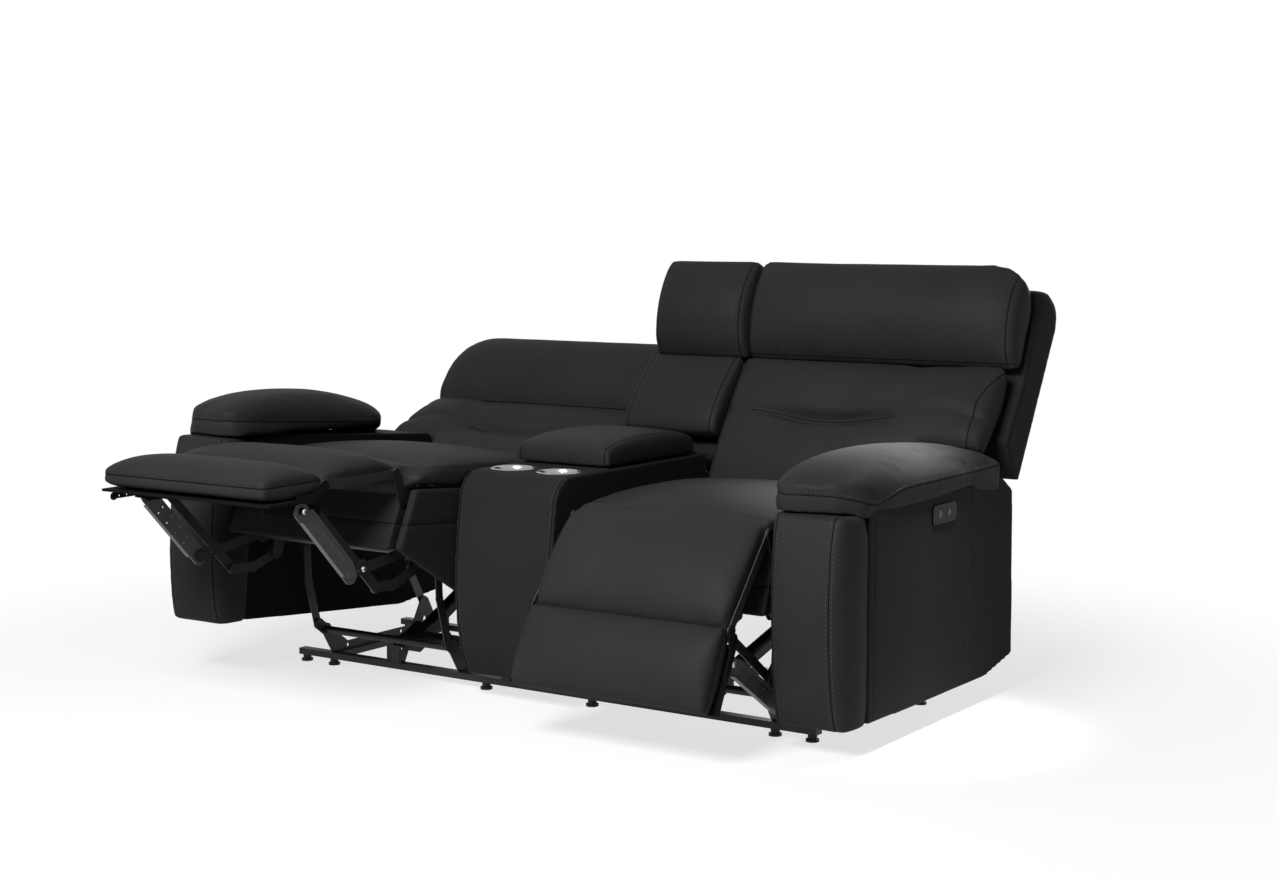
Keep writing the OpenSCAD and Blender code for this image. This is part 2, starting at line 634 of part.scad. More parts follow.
module long_link(side) {
    a = leg(side);
    color("#2b2b2d") link_at(side, cross_pin(a), heading(cross_pin(a), long_top(a))) difference() {
        union() {
            slab(long_x, long_x + plate_t) {
                strap([-tail_l, 0], [0, 0], 26, 14);
                strap([0, 0], [long_l, 0], 22, eye_r);
            }
            rod(long_x + plate_t - 0.5, long_x + plate_t + 1.4, [long_l, 0], pin_r + 3);
        }
        rod(long_x - 1, long_x + plate_t + 1, [0, 0], pin_r + run_gap);
    }
}
module tie_link(side) {
    a = leg(side);
    color("#2b2b2d") link_at(side, tie_pivot, heading(tie_pivot, tail_end(a))) difference() {
        union() {
            slab(tie_x, tie_x + plate_t) {
                knee = [tie_l * 0.55, 14];
                strap([0, 0], knee, 24, eye_r);
                strap(knee, [tie_l, 0], 24, eye_r);
            }
            rod(tie_x + plate_t - 0.5, tie_x + plate_t + 1.4, [tie_l, 0], pin_r + 3);
        }
        rod(tie_x - 1, tie_x + plate_t + 1, [0, 0], pin_r + run_gap);
    }
}
module channel_link(side) {
    a = leg(side);
    half = 21;
    color("#3a3a3c") link_at(side, channel_top(a), heading(channel_top(a), crank_end(a))) difference() {
        union() {
            slab(channel_x, channel_x + plate_t) strap([0, 0], [channel_l, 0], 2 * half, half);
            for (m = [-1, 1]) slab(channel_x, channel_x + channel_deep)
                bar([16, m * (half - 1.5)], [channel_l - 22, m * (half - 1.5)], 3);
            rod(channel_x + plate_t - 0.5, channel_x + plate_t + 2.4, [channel_l, 0], pin_r + 3);
        }
        rod(channel_x - 1, channel_x + plate_t + 1, [0, 0], pin_r + run_gap);
        for (u = [0.24, 0.4, 0.56, 0.72]) for (m = [-1, 1])
            rod(channel_x - 1, channel_x + plate_t + 1, [u * channel_l, m * 9], 2.6);
    }
}

// Drive. The rail runs along +Y from the clevis.
function drive_angle(side) =
    lerp(heading(motor_pivot, drive_home), heading(motor_pivot, drive_lie), lie(side));
function drive_len(side) = lerp(dist(motor_pivot, drive_home), dist(motor_pivot, drive_lie), lie(side));
module on_drive(side) {
    seat_side(side) translate([mech_x, motor_pivot[0], motor_pivot[1]])
        rotate([drive_angle(side), 0, 0]) children();
}
module motor(side) {
    color("#191919") on_drive(side) {
        rod(-20, 20, [0, 0], pin_r);
        difference() {
            slab(-14, 14) {
                spot([0, 0], 14);
                translate([0, -14]) square([24, 24]);
            }
            // A round neck for the tongue
            rod(-15, 15, [40, 20], 16);
        }
        translate([-28, 20, -rail_drop - 16]) cube([56, 74, 38]);
        translate([-28, 56, -rail_drop - 2]) rotate([0, -90, 0]) cylinder(h = 96, r = 21);
        translate([-124, 56, -rail_drop - 2]) rotate([0, -90, 0]) cylinder(h = 6, r = 9);
        // Slide rail: an open channel with a screw in it
        difference() {
            translate([-19, 93, -rail_drop - 11]) cube([38, rail_l - 93, 22]);
            translate([-14, 96, -rail_drop - 6]) cube([28, rail_l - 100, 30]);
        }
        translate([0, 94, -rail_drop]) rotate([-90, 0, 0]) cylinder(h = rail_l - 96, r = 4);
    }
}
module carriage(side) {
    u = drive_len(side);
    r = tube_r + 1;
    // The fork is open above and long enough for the tube's arc between the ends of its travel
    play = 10;
    color("#262628") on_drive(side) difference() {
        union() {
            translate([-13, u - 22, -rail_drop - 5.6]) cube([26, 50, 20]);
            translate([-22, u - 22, -rail_drop + 11.4]) cube([44, 50, 5.5]);
            slab(-22, 22) translate([u - r - 6, -rail_drop + 14]) square([2 * r + play + 12, rail_drop - 4]);
        }
        // Screw bore and the slot that holds the drive tube
        translate([0, u - 30, -rail_drop]) rotate([-90, 0, 0]) cylinder(h = 70, r = 4.4);
        slab(-30, 30) {
            spot([u, 0], r);
            spot([u + play, 0], r);
            translate([u, -r]) square([play, 2 * r]);
            translate([u - r, 0]) square([2 * r + play, 40]);
        }
    }
}

// Console
console_z0 = 62;
deck_z = seat_z + 108;
lid_y0 = -222;
lid_y1 = 186;
bin_y1 = 150;
lid_pivot = [186, deck_z + 10];
cup_y = -324;
cup_x = 0.24 * console_w;
module console_outline() {
    front_r = 70;
    difference() {
        union() {
            polygon([[-418, console_z0], [-440, 120], [-455, 200], [-459, 270], [-457, 350], [-449, 420],
                     [-440, deck_z - front_r], [-368, deck_z], [212, deck_z], [212, 500], [424, 500],
                     [400, 300], [396, console_z0]]);
            spot([-370, deck_z - front_r], front_r);
        }
        // Toe space at the back
        polygon([[300, console_z0 - 1], [420, console_z0 - 1], [420, 92], [396, 92]]);
    }
}
module console_box() {
    color("#1b1b1c") translate([0, shift_y, 0]) difference() {
        union() {
            slab(-console_x, console_x) console_outline();
            // Hinge knuckles
            for (m = [-1, 1]) slab(m * 96 - 9, m * 96 + 9) {
                spot(lid_pivot, 8);
                translate([lid_pivot[0] - 8, deck_z - 2]) square([16, 12]);
            }
        }
        translate([-bin_w / 2, bin_y1 - bin_l, deck_z - bin_d]) cube([bin_w, bin_l, bin_d + 1]);
        for (m = [-1, 1]) translate([m * cup_x, cup_y, deck_z - cup_d])
            cylinder(h = cup_d + 1, r = cup_r + 1.6);
        rod(-120, 120, lid_pivot, 4 + run_gap);
    }
}
module cup_wells() {
    wall = 1.2;
    color("#b9bcbe") translate([0, shift_y, 0]) for (m = [-1, 1]) translate([m * cup_x, cup_y, deck_z])
        rotate_extrude($fn = 64) {
            translate([cup_r, -cup_d + 4]) square([wall, cup_d - 4]);
            translate([0, -cup_d + 4]) square([cup_r + wall, wall]);
            translate([cup_r, 0]) square([cup_rim_r - cup_r - 1, wall + 0.6]);
            translate([cup_rim_r - 2, 0.9]) circle(0.9);
        }
}
module console_lid() {
    n = 9;
    half = console_x - 3;
    function line(s) = [for (i = [0 : n - 1]) let (t = i / (n - 1))
        [lerp(lid_y0, lid_y1 - 22, t), deck_z + 30 + 5 * sin(180 * t)]];
    color("#1f1e1f") translate([0, shift_y, 0]) {
        cushion(-half, half, function(s) line(s), [18, 25, 27, 27, 27, 27, 27, 25, 18],
            [14, 18, 19, 20, 20, 20, 19, 18, 14], lid_t - 56, NO_DENT, 0.7);
        // Plate, and two hinge leaves with their pins
        translate([-bin_w / 2 - 10, lid_y0 + 24, deck_z + 0.6])
            cube([bin_w + 20, lid_y1 - lid_y0 - 60, 12.9]);
        for (m = [-1, 1]) {
            slab(m * 76 - 10, m * 76 + 10) {
                spot(lid_pivot, 7);
                translate([lid_pivot[0] - 60, deck_z + 2.6]) square([60, 7]);
            }
            rod(m * 82 - 14, m * 82 + 14, lid_pivot, 4);
        }
    }
}
module console_back_shell() {
    color("#1a1a1b") translate([0, shift_y, 0]) slab(-console_x + 6, console_x - 6)
        polygon([[216, 500], [421, 500], [658, 898], [656, 922], [640, 936], [604, 962], [540, 966],
                 [492, 850], [441, 742], [318, 566], [270, 540], [216, 530]]);
}
module console_back_cushion() {
    n = 10;
    function line(s) = [for (i = [0 : n - 1]) let (t = i / (n - 1))
        [lerp(262, 402, t) - 4 * sin(180 * t), lerp(584, 756, t)]];
    color("#1f1e1f") translate([0, shift_y, 0]) cushion(-console_x - 2, console_x + 2, function(s) line(s),
        [26, 38, 41, 42, 43, 43, 42, 41, 39, 36], [16, 34, 39, 43, 47, 49, 47, 44, 34, 16],
        10, NO_DENT, 0.75);
}
module console_headrest() {
    function drop(s) = 12 * corner(min(s, 1 - s), 0.05);
    color("#1f1e1f") translate([0, shift_y, 0]) cushion(-console_x - 2, console_x + 2,
        function(s) head_line(drop(s)), HEAD_FRONT, HEAD_REAR, 12, NO_DENT, 0.75);
}

base_rails();
floor_glides();
console_box();
cup_wells();
console_lid();
console_back_shell();
console_back_cushion();
console_headrest();
for (side = [LEFT, RIGHT]) {
    s = side == LEFT ? "left_" : "right_";
    front_links(side);
    rear_links(side);
    side_plates(side);
    seat_frame(side);
    seat_springs(side);
    seat_cushion(side);
    seat_apron(side);
    arm_box(side);
    arm_bolster(side);
    arm_pad(side);
    switch_panel(side);
    push_button(side, -1);
    push_button(side, 1);
    back_shell(side);
    back_cushion(side);
    headrest(side);
    back_hinges(side);
    leg_pad(side);
    footrest_board(side);
    footrest_pad(side);
    crank_link(side);
    long_link(side);
    tie_link(side);
    channel_link(side);
    motor(side);
    carriage(side);
}
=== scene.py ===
# %% [markdown]
# Power reclining loveseat with a storage console.
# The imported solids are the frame: they hold every size and every joint. This script dresses them
# in black leather, steel and plastic, and lights them as a studio product shot. X runs across, Y
# to the back and Z up. Lengths are in metres where MM doesn't turn millimetres into them.

# %% Load the frame
import contextlib
import json
import math
import bmesh
import bpy
import numpy as np
from mathutils import Matrix, Vector, noise
from mathutils.bvhtree import BVHTree


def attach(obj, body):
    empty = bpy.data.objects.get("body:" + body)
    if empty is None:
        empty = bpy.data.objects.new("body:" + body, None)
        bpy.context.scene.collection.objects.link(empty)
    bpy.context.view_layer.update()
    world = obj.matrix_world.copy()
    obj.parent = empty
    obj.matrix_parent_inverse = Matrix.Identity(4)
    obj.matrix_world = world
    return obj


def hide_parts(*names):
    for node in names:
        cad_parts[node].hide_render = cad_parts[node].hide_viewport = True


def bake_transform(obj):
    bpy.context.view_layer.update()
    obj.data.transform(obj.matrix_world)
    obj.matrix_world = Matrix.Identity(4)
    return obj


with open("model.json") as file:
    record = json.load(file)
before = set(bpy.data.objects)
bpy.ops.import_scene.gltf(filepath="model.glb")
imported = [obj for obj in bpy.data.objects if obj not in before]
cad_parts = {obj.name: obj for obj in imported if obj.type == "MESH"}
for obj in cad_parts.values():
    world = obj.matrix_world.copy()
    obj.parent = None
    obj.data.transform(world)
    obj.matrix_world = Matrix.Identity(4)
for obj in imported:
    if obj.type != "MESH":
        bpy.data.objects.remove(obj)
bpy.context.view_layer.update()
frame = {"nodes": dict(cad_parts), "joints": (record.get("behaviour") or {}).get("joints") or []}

MM = 0.001

# %% [markdown]
# Operators act on whatever is selected, so each step first deselects everything and picks one
# piece. These helpers keep that in one place, make pieces from plain lists of points, and read
# and write a mesh's points all at once.

# %% Pick one piece
def only(piece):
    bpy.ops.object.select_all(action="DESELECT")
    piece.select_set(True)
    bpy.context.view_layer.objects.active = piece


def finish_modifier(piece, kind, **settings):
    only(piece)
    modifier = piece.modifiers.new(kind.title(), kind)
    for name, value in settings.items():
        setattr(modifier, name, value)
    bpy.ops.object.modifier_apply(modifier=modifier.name)


@contextlib.contextmanager
def whole_mesh(piece):
    """Edit mode on one piece, with all of its mesh selected."""
    only(piece)
    bpy.ops.object.mode_set(mode="EDIT")
    bpy.ops.mesh.select_all(action="SELECT")
    yield
    bpy.ops.object.mode_set(mode="OBJECT")


def merge_and_face_out():
    """In edit mode: joins the points that coincide, and turns every face outwards."""
    bpy.ops.mesh.select_all(action="SELECT")
    bpy.ops.mesh.remove_doubles(threshold=0.05 * MM)
    bpy.ops.mesh.normals_make_consistent(inside=False)


def new_piece(name, mesh):
    piece = bpy.data.objects.new(name, mesh)
    bpy.context.scene.collection.objects.link(piece)
    return piece


def drawn(name, points, edges, faces):
    mesh = bpy.data.meshes.new(name)
    mesh.from_pydata(points, edges, faces)
    return new_piece(name, mesh)


def coordinates(piece):
    flat = np.empty(len(piece.data.vertices) * 3)
    piece.data.vertices.foreach_get("co", flat)
    return flat.reshape(-1, 3)


def set_coordinates(piece, points):
    piece.data.vertices.foreach_set("co", np.asarray(points, float).ravel())
    piece.data.update()


def normals(piece):
    return np.array([vertex.normal for vertex in piece.data.vertices])

# %% [markdown]
# The photograph's camera was solved from the sofa's straight edges. A long lens a good five
# metres away, standing to the sofa's right front and looking a little down.

# %% Camera
CAMERA_LENS, CAMERA_SENSOR = 57.47, 36  # millimetres
CAMERA_PLACE = (2.886, -3.981, 1.129)
CAMERA_TURN = (math.radians(90 - 5.839), 0, math.radians(34.009))
CAMERA_SHIFT = -0.0069
bpy.ops.object.camera_add(location=CAMERA_PLACE, rotation=CAMERA_TURN)
camera = bpy.context.object
camera.name = "photo_camera"
camera.data.lens = CAMERA_LENS
camera.data.sensor_width = CAMERA_SENSOR
camera.data.shift_y = CAMERA_SHIFT
bpy.context.scene.camera = camera
print("camera at", CAMERA_PLACE, "with a lens of", CAMERA_LENS, "mm")

# %% [markdown]
# Finishes are written as sRGB hex values, because that is how a colour is picked from a chart.
# Shaders work in linear light, so one function turns one into the other.

# %% Colours and nodes
def colour(code):
    parts = [int(code[i:i + 2], 16) / 255 for i in (1, 3, 5)]
    return tuple(c / 12.92 if c <= 0.04045 else ((c + 0.055) / 1.055) ** 2.4 for c in parts) + (1,)


def add(tree, kind, links=(), values=(), **settings):
    """Adds one shader node. A link is (input, from node, its output), and a value is (input, value)."""
    made = tree.nodes.new("ShaderNode" + kind)
    for name, value in settings.items():
        setattr(made, name, value)
    for socket, value in values:
        made.inputs[socket].default_value = value
    for socket, source, output in links:
        tree.links.new(source.outputs[output], made.inputs[socket])
    return made


def bump(tree, height, strength, distance, below=None):
    links = [("Height", height, 0)] + ([("Normal", below, 0)] if below else [])
    return add(tree, "Bump", links, [("Strength", strength), ("Distance", distance)])


def new_material(name):
    """An empty material, its tree, and the node that gives a point's place."""
    material = bpy.data.materials.new(name)
    material.use_nodes = True
    material.node_tree.nodes.clear()
    return material, material.node_tree, add(material.node_tree, "TexCoord")

# %% [markdown]
# Corrected-grain cow leather, drum dyed and coated. Its pebbled grain is about 1.5 mm across,
# and it creases where it is pulled round a corner. The coat gives it a soft, broad gloss that
# the grain breaks up, so the bump carries the look and the colour stays nearly even. The coat's
# reflection is weaker than bare plastic's, which keeps the leather black in a white studio.

# %% Leather
GRAIN = 1.5 * MM
FOLDS_PER_METRE, WEAR_PER_METRE = 26, 5
COAT_SHARE = 0.45


def leather(name, tone, dark, roughness, wrinkle, shine):
    material, tree, place = new_material(name)
    at = ("Vector", place, "Object")
    cells = add(tree, "TexVoronoi", [at], [("Scale", 1 / (2 * GRAIN))], feature="DISTANCE_TO_EDGE")
    pores = add(tree, "TexNoise", [at], [("Scale", 1 / (4 * GRAIN)), ("Detail", 5), ("Roughness", 0.62)])
    folds = add(tree, "TexNoise", [at], [("Scale", FOLDS_PER_METRE), ("Detail", 6), ("Distortion", 1.1)])
    wear = add(tree, "TexNoise", [at], [("Scale", WEAR_PER_METRE), ("Detail", 3)])
    edge = add(tree, "MapRange", [("Value", cells, "Distance")], [("From Max", 0.25)])
    grain = bump(tree, edge, 0.14, 0.3 * MM)
    pore = bump(tree, pores, 0.2, 0.8 * MM, grain)
    crease = bump(tree, folds, wrinkle, 6 * MM, pore)
    # The colour sockets of a Mix node are its seventh and eighth, and its colour comes out third
    tint = add(tree, "Mix", [(0, wear, 0)], [(6, colour(dark)), (7, colour(tone))], data_type="RGBA")
    gloss = add(tree, "MapRange", [("Value", wear, 0)],
                [("To Min", roughness - 0.04), ("To Max", roughness + 0.06)])
    shader = add(tree, "BsdfPrincipled",
                 [("Base Color", tint, 2), ("Roughness", gloss, 0), ("Normal", crease, 0)],
                 [("IOR", 1.5), ("Specular IOR Level", shine)])
    matt = add(tree, "BsdfDiffuse", [("Color", tint, 2), ("Normal", crease, 0)])
    surface = add(tree, "MixShader", [(1, matt, 0), (2, shader, 0)], [(0, COAT_SHARE)])
    add(tree, "OutputMaterial", [("Surface", surface, 0)])
    return material

# %% [markdown]
# Paint, plastic and metal are one even tone whose gloss and relief vary a little. A brushed or
# wooden surface has its pattern drawn out along one axis.

# %% Paint, plastic and metal
def plain(name, tone, roughness, metallic=0.0, speckle=0.1, scale=900.0, drag=(1, 1, 1), shine=0.5):
    material, tree, place = new_material(name)
    stretch = add(tree, "Mapping", [("Vector", place, "Object")], [("Scale", drag)])
    pattern = add(tree, "TexNoise", [("Vector", stretch, 0)], [("Scale", scale), ("Detail", 4)])
    gloss = add(tree, "MapRange", [("Value", pattern, 0)],
                [("To Min", roughness - 0.05), ("To Max", roughness + 0.07)])
    relief = bump(tree, pattern, speckle, 0.2 * MM)
    shader = add(tree, "BsdfPrincipled", [("Roughness", gloss, 0), ("Normal", relief, 0)],
                 [("Base Color", colour(tone)), ("Metallic", metallic), ("Specular IOR Level", shine)])
    add(tree, "OutputMaterial", [("Surface", shader, 0)])
    return material

# %% [markdown]
# The seats are one leather, and the arms, console and backs the same leather pulled flat over
# board, so it has fewer creases. The rails are powder coated, and the links are phosphated and
# oiled, a dark grey. The cup wells are spun and brushed.

# %% Finishes
seat_leather = leather("coated_cow_leather", "#2a2929", "#222121", 0.5, 0.16, 0.08)
panel_leather = leather("leather_over_board", "#262526", "#201f20", 0.46, 0.08, 0.025)
frame_paint = plain("powder_coated_steel", "#161617", 0.42, speckle=0.3, scale=700.0, shine=0.3)
link_paint = plain("phosphated_steel", "#3a3a3c", 0.38, metallic=0.75, speckle=0.2)
channel_paint = plain("satin_painted_steel", "#5a5a5c", 0.42, metallic=0.6, speckle=0.15)
zinc = plain("zinc_plated_steel", "#b4b6b8", 0.28, metallic=1.0)
cup_steel = plain("brushed_stainless_steel", "#9c9ea0", 0.24, metallic=1.0, speckle=0.12, scale=260.0)
spring_steel = plain("oiled_spring_steel", "#6c6e70", 0.35, metallic=1.0)
# The seat frame's plywood is given a near-black tone
plywood = plain("near_black_plywood", "#161412", 0.6, speckle=0.2, scale=60.0, drag=(1, 12, 12), shine=0.1)
liner = plain("black_liner_board", "#101010", 0.75, shine=0.03)
moulded = plain("moulded_nylon", "#121213", 0.5, speckle=0.15, shine=0.25)
gloss_abs = plain("gloss_abs", "#0f0f10", 0.3, shine=0.05)
button_abs = plain("satin_abs", "#1c1c1e", 0.35, shine=0.2)
# The seam strips' finish is near-black painted shade for the grooves
seam_shadow = plain("painted_seam_shade", "#070707", 0.8, shine=0.02)
thread = plain("bonded_polyester_thread", "#474647", 0.55, shine=0.1)

NODES_OF = (
    (frame_paint, "base_rails side_plates"), (channel_paint, "channel_link"), (cup_steel, "cup_wells"),
    (link_paint, "front_links rear_links back_hinges crank_link long_link tie_link"),
    (moulded, "floor_glides motor carriage"), (plywood, "seat_frame"), (spring_steel, "seat_springs"),
    (gloss_abs, "switch_panel"), (button_abs, "open_button close_button"), (liner, "footrest_board"),
)
NODE_FINISH = {node: finish for finish, nodes in NODES_OF for node in nodes.split()}


def dress(piece, finish, smooth=False):
    piece.data.materials.clear()
    piece.data.materials.append(finish)
    if smooth:
        only(piece)
        bpy.ops.object.shade_smooth()


for name, node in frame["nodes"].items():
    kind = name.split("_", 1)[1] if name.startswith(("left_", "right_")) else name
    dress(node, NODE_FINISH.get(kind, panel_leather))
print(len(frame["nodes"]), "nodes have a finish")

# %% [markdown]
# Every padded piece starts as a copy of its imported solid, so its size and place are the
# frame's. A node may hold several solids, and each comes out as a shell of its own.

# %% Take a solid's shells
def shells(node, name):
    """Merged copies of a solid's shells, free of the frame, the largest first."""
    with whole_mesh(new_piece(name, frame["nodes"][node].data.copy())):
        bpy.ops.mesh.remove_doubles(threshold=0.02 * MM)
        bpy.ops.mesh.separate(type="LOOSE")
    found = bpy.context.selected_objects
    return sorted(found, key=lambda o: -o.dimensions.x * o.dimensions.y * o.dimensions.z)


def joined(parts, name):
    only(parts[0])
    for extra in parts[1:]:
        extra.select_set(True)
    if len(parts) > 1:
        bpy.ops.object.join()
    parts[0].name = name
    return parts[0]


def largest_shell(node, name):
    parts = shells(node, name)
    for extra in parts[1:]:
        bpy.data.objects.remove(extra)
    return joined(parts[:1], name)


def skin(piece, voxel, rounds):
    """Covers a piece with small even squares and eases its corners."""
    finish_modifier(piece, "REMESH", mode="VOXEL", voxel_size=voxel)
    finish_modifier(piece, "SMOOTH", factor=0.5, iterations=rounds)

# %% [markdown]
# Some places are rounder than the rest of their piece, such as a free end or a fold. So one
# region of a cover can be smoothed on its own, with weights that fade out at its border.

# %% Ease one region
def ease_region(piece, weights, rounds, least=0.01):
    """Smooths the part of a cover where the weights are above least."""
    group = piece.vertex_groups.new(name="eased")
    for i in np.flatnonzero(weights > least).tolist():
        group.add([i], float(weights[i]), "REPLACE")
    finish_modifier(piece, "SMOOTH", factor=0.5, iterations=rounds, vertex_group="eased")
    piece.vertex_groups.clear()


def ramp(values, low, high):
    """0 below low, 1 above high, and a smooth rise between them."""
    t = np.clip((values - low) / (high - low), 0, 1)
    return t * t * (3 - 2 * t)


def fall(values, low, high):
    return 1 - ramp(values, low, high)

# %% [markdown]
# A seam is a plane through the cushion, which may be bent into a curve. Along it the cover is
# held, so the skin is pinned there while it swells. A groove is pressed in afterwards, with
# small puckers that run out from it, and both can be stronger in one place than in another.

# %% Seams
WAVES_PER_METRE, PUCKERS_PER_METRE = 11, 74
PUCKER_CLEAR = 4 * MM  # the groove itself stays free of puckers
SEED_STEP = 7.3  # sets one seam's puckers apart from the next one's


class Seam:
    """
    A sewn line. Its depth, width, pucker height, pucker reach and stitch offsets are in
    millimetres. where(points, normals) says which part of the cover has it, from 0 to 1,
    bend(points) is how far it strays from its plane, and pull(points) makes it stronger.
    """
    def __init__(self, point, normal, depth, width=3.5, pucker=1.0, reach=12, stitch=(), where=None,
                 bend=None, pull=None):
        self.point = np.array(point, float)
        self.normal = np.array(normal, float) / np.linalg.norm(normal)
        self.depth, self.width = depth * MM, width * MM
        self.pucker, self.reach = pucker * MM, reach * MM
        self.stitch, self.where, self.bend, self.pull = stitch, where, bend, pull

    def curve(self, points):
        return self.bend(points) if self.bend else np.zeros(len(points))

    def distance(self, points):
        return (points - self.point) @ self.normal - self.curve(points)

    def mask(self, points, facing):
        held = np.ones(len(points)) if self.where is None else self.where(points, facing).astype(float)
        return held * self.pull(points) if self.pull else held


def noise_at(points, scale, seed):
    return np.array([noise.noise(Vector(p) * scale + Vector((seed, 0, 0))) for p in points])


def puckers(points, seam, away, seed):
    """Ripples that run out from the seam and fade."""
    near = np.flatnonzero(np.abs(away) < seam.reach * 3)
    flat = points[near] - np.outer(away[near], seam.normal)
    wave = np.zeros(len(points))
    wave[near] = noise_at(flat, PUCKERS_PER_METRE, seed)
    return wave * np.exp(-np.abs(away) / seam.reach) * (1 - np.exp(-(away / PUCKER_CLEAR) ** 2))


def sew(piece, seams, seed, ease):
    """Presses the seams in. ease is the height in millimetres of the slow waves in all leather."""
    points, facing = coordinates(piece), normals(piece)
    move = noise_at(points, WAVES_PER_METRE, seed) * ease * MM
    for k, seam in enumerate(seams):
        away = seam.distance(points)
        held = seam.mask(points, facing)
        move -= held * seam.depth * np.exp(-np.abs(away / seam.width) ** 1.6)
        move += held * seam.pucker * puckers(points, seam, away, seed + SEED_STEP * k)
    set_coordinates(piece, points + facing * move[:, None])


def shift_bend(cut, seam, way):
    """Takes a seam's bend out of a mesh where way is -1, and puts it back where way is 1."""
    line = Vector(seam.normal) * way
    places = np.array([vert.co for vert in cut.verts]).reshape(-1, 3)
    for vert, off in zip(cut.verts, seam.curve(places)):
        vert.co += line * off


def seam_runs(piece, seam, shift):
    """Chains of (point, normal) where the seam, moved sideways by shift, cuts the cover."""
    cut = bmesh.new()
    cut.from_mesh(piece.data)
    tree = BVHTree.FromBMesh(cut)
    at = seam.point + seam.normal * shift
    shift_bend(cut, seam, -1)
    bmesh.ops.bisect_plane(cut, geom=cut.verts[:] + cut.edges[:] + cut.faces[:], plane_co=at,
                           plane_no=seam.normal, clear_inner=True, clear_outer=True)
    shift_bend(cut, seam, 1)
    left = set(cut.edges)
    runs = []
    for edge in list(cut.edges):
        if edge not in left:
            continue
        left.discard(edge)
        chain = [edge.verts[0], edge.verts[1]]
        for end in (-1, 0):
            while onward := [e for e in chain[end].link_edges if e in left]:
                left.discard(onward[0])
                chain.insert(len(chain) if end else 0, onward[0].other_vert(chain[end]))
        runs.append([(Vector(v.co), tree.find_nearest(v.co)[1]) for v in chain])
    cut.free()
    return runs

# %% [markdown]
# The top-stitching is grey bonded thread. One stitch is modelled, a stretched bead, and then laid
# again and again along the seam, a little coarser than life so that it shows across a room.

# %% Stitches
STITCH_LONG, STITCH_THICK, STITCH_PITCH, STITCH_LIFT = 5 * MM, 1.3 * MM, 8 * MM, 0.3 * MM
bpy.ops.object.select_all(action="DESELECT")
bpy.ops.mesh.primitive_uv_sphere_add(segments=6, ring_count=4, radius=1)
pattern = bpy.context.object
BEAD = coordinates(pattern) * (STITCH_THICK / 2, STITCH_THICK / 2, STITCH_LONG / 2)
BEAD_FACES = [list(face.vertices) for face in pattern.data.polygons]
bpy.data.objects.remove(pattern)
print("one stitch has", len(BEAD_FACES), "faces")


def stitches(name, piece, seams):
    """Top-stitching, or None where no stitch fits."""
    verts, faces = [], []
    for seam in seams:
        for shift in seam.stitch:
            for run in seam_runs(piece, seam, shift * MM):
                travelled = 0.0
                for (a, na), (b, _) in zip(run, run[1:]):
                    step, middle = b - a, (a + b) / 2
                    travelled += step.length
                    if travelled < STITCH_PITCH or step.length < 1e-6:
                        continue
                    if seam.mask(np.array([middle]), np.array([na]))[0] < 0.5:
                        continue
                    travelled = 0.0
                    along = step.normalized()
                    side = along.cross(na).normalized()
                    turn = np.array([side, side.cross(along) * -1, along])
                    start = len(verts)
                    verts.extend((BEAD @ turn + np.array(middle + na * STITCH_LIFT)).tolist())
                    faces.extend([[start + i for i in face] for face in BEAD_FACES])
    if not verts:
        return None
    made = drawn(name, verts, [], faces)
    with whole_mesh(made):
        bpy.ops.mesh.normals_make_consistent(inside=False)
    dress(made, thread, smooth=True)
    print(name, "has", len(faces) // len(BEAD_FACES), "stitches")
    return made

# %% [markdown]
# From across a room a seam reads as a thin dark line, where two edges of leather turn in and the groove
# between them lies in shade. So a narrow near-black strip of painted shade lies in each groove, along the run
# that the stitches follow.

# %% Seam lines
LINE_HALF, LINE_PROUD, LINE_LEAST_MASK = 1.2 * MM, 0.35 * MM, 0.35


def seam_lines(name, piece, seams):
    """A four-sided strip of painted shade along each seam, or None."""
    verts, faces = [], []
    for seam in seams:
        for run in seam_runs(piece, seam, 0.0):
            places, ways = (np.array(part) for part in zip(*run))
            held = seam.mask(places, ways) > LINE_LEAST_MASK
            last = None
            for k, (point, out) in enumerate(run):
                before, after = run[max(0, k - 1)][0], run[min(len(run) - 1, k + 1)][0]
                along = (after - before).normalized()
                side = along.cross(out).normalized() * LINE_HALF
                start = len(verts)
                verts.extend([tuple(point + side), tuple(point + out * LINE_PROUD), tuple(point - side),
                              tuple(point - out * LINE_HALF)])
                if last is not None and held[k] and held[k - 1]:
                    faces.extend([[last + i, last + (i + 1) % 4, start + (i + 1) % 4, start + i]
                                  for i in range(4)])
                last = start
    if not faces:
        return None
    made = drawn(name, verts, [], faces)
    with whole_mesh(made):
        bpy.ops.mesh.delete_loose()
        merge_and_face_out()
    dress(made, seam_shadow)
    return made


def sewing(name, piece, seams):
    """The painted shade strips along a cover's seams, and its top-stitching where it has any."""
    made = [m for m in (seam_lines(name + "_lines", piece, seams), stitches(name, piece, seams)) if m]
    return joined(made, name) if made else None

# %% [markdown]
# Blowing the cover up. Pressure pushes every face outward, with gravity off, for 20 frames. This
# leather is pulled taut, so the cover neither shrinks nor sags, and a little smoothing takes out
# the creases. No point may move further than a cap, which keeps the piece in its solid's space.

# %% Inflate
FRAMES = 20
LEATHER_CLOTH = {"quality": 4, "mass": 0.25, "tension_stiffness": 18, "compression_stiffness": 18,
                 "shear_stiffness": 8, "bending_stiffness": 4, "use_pressure": True}


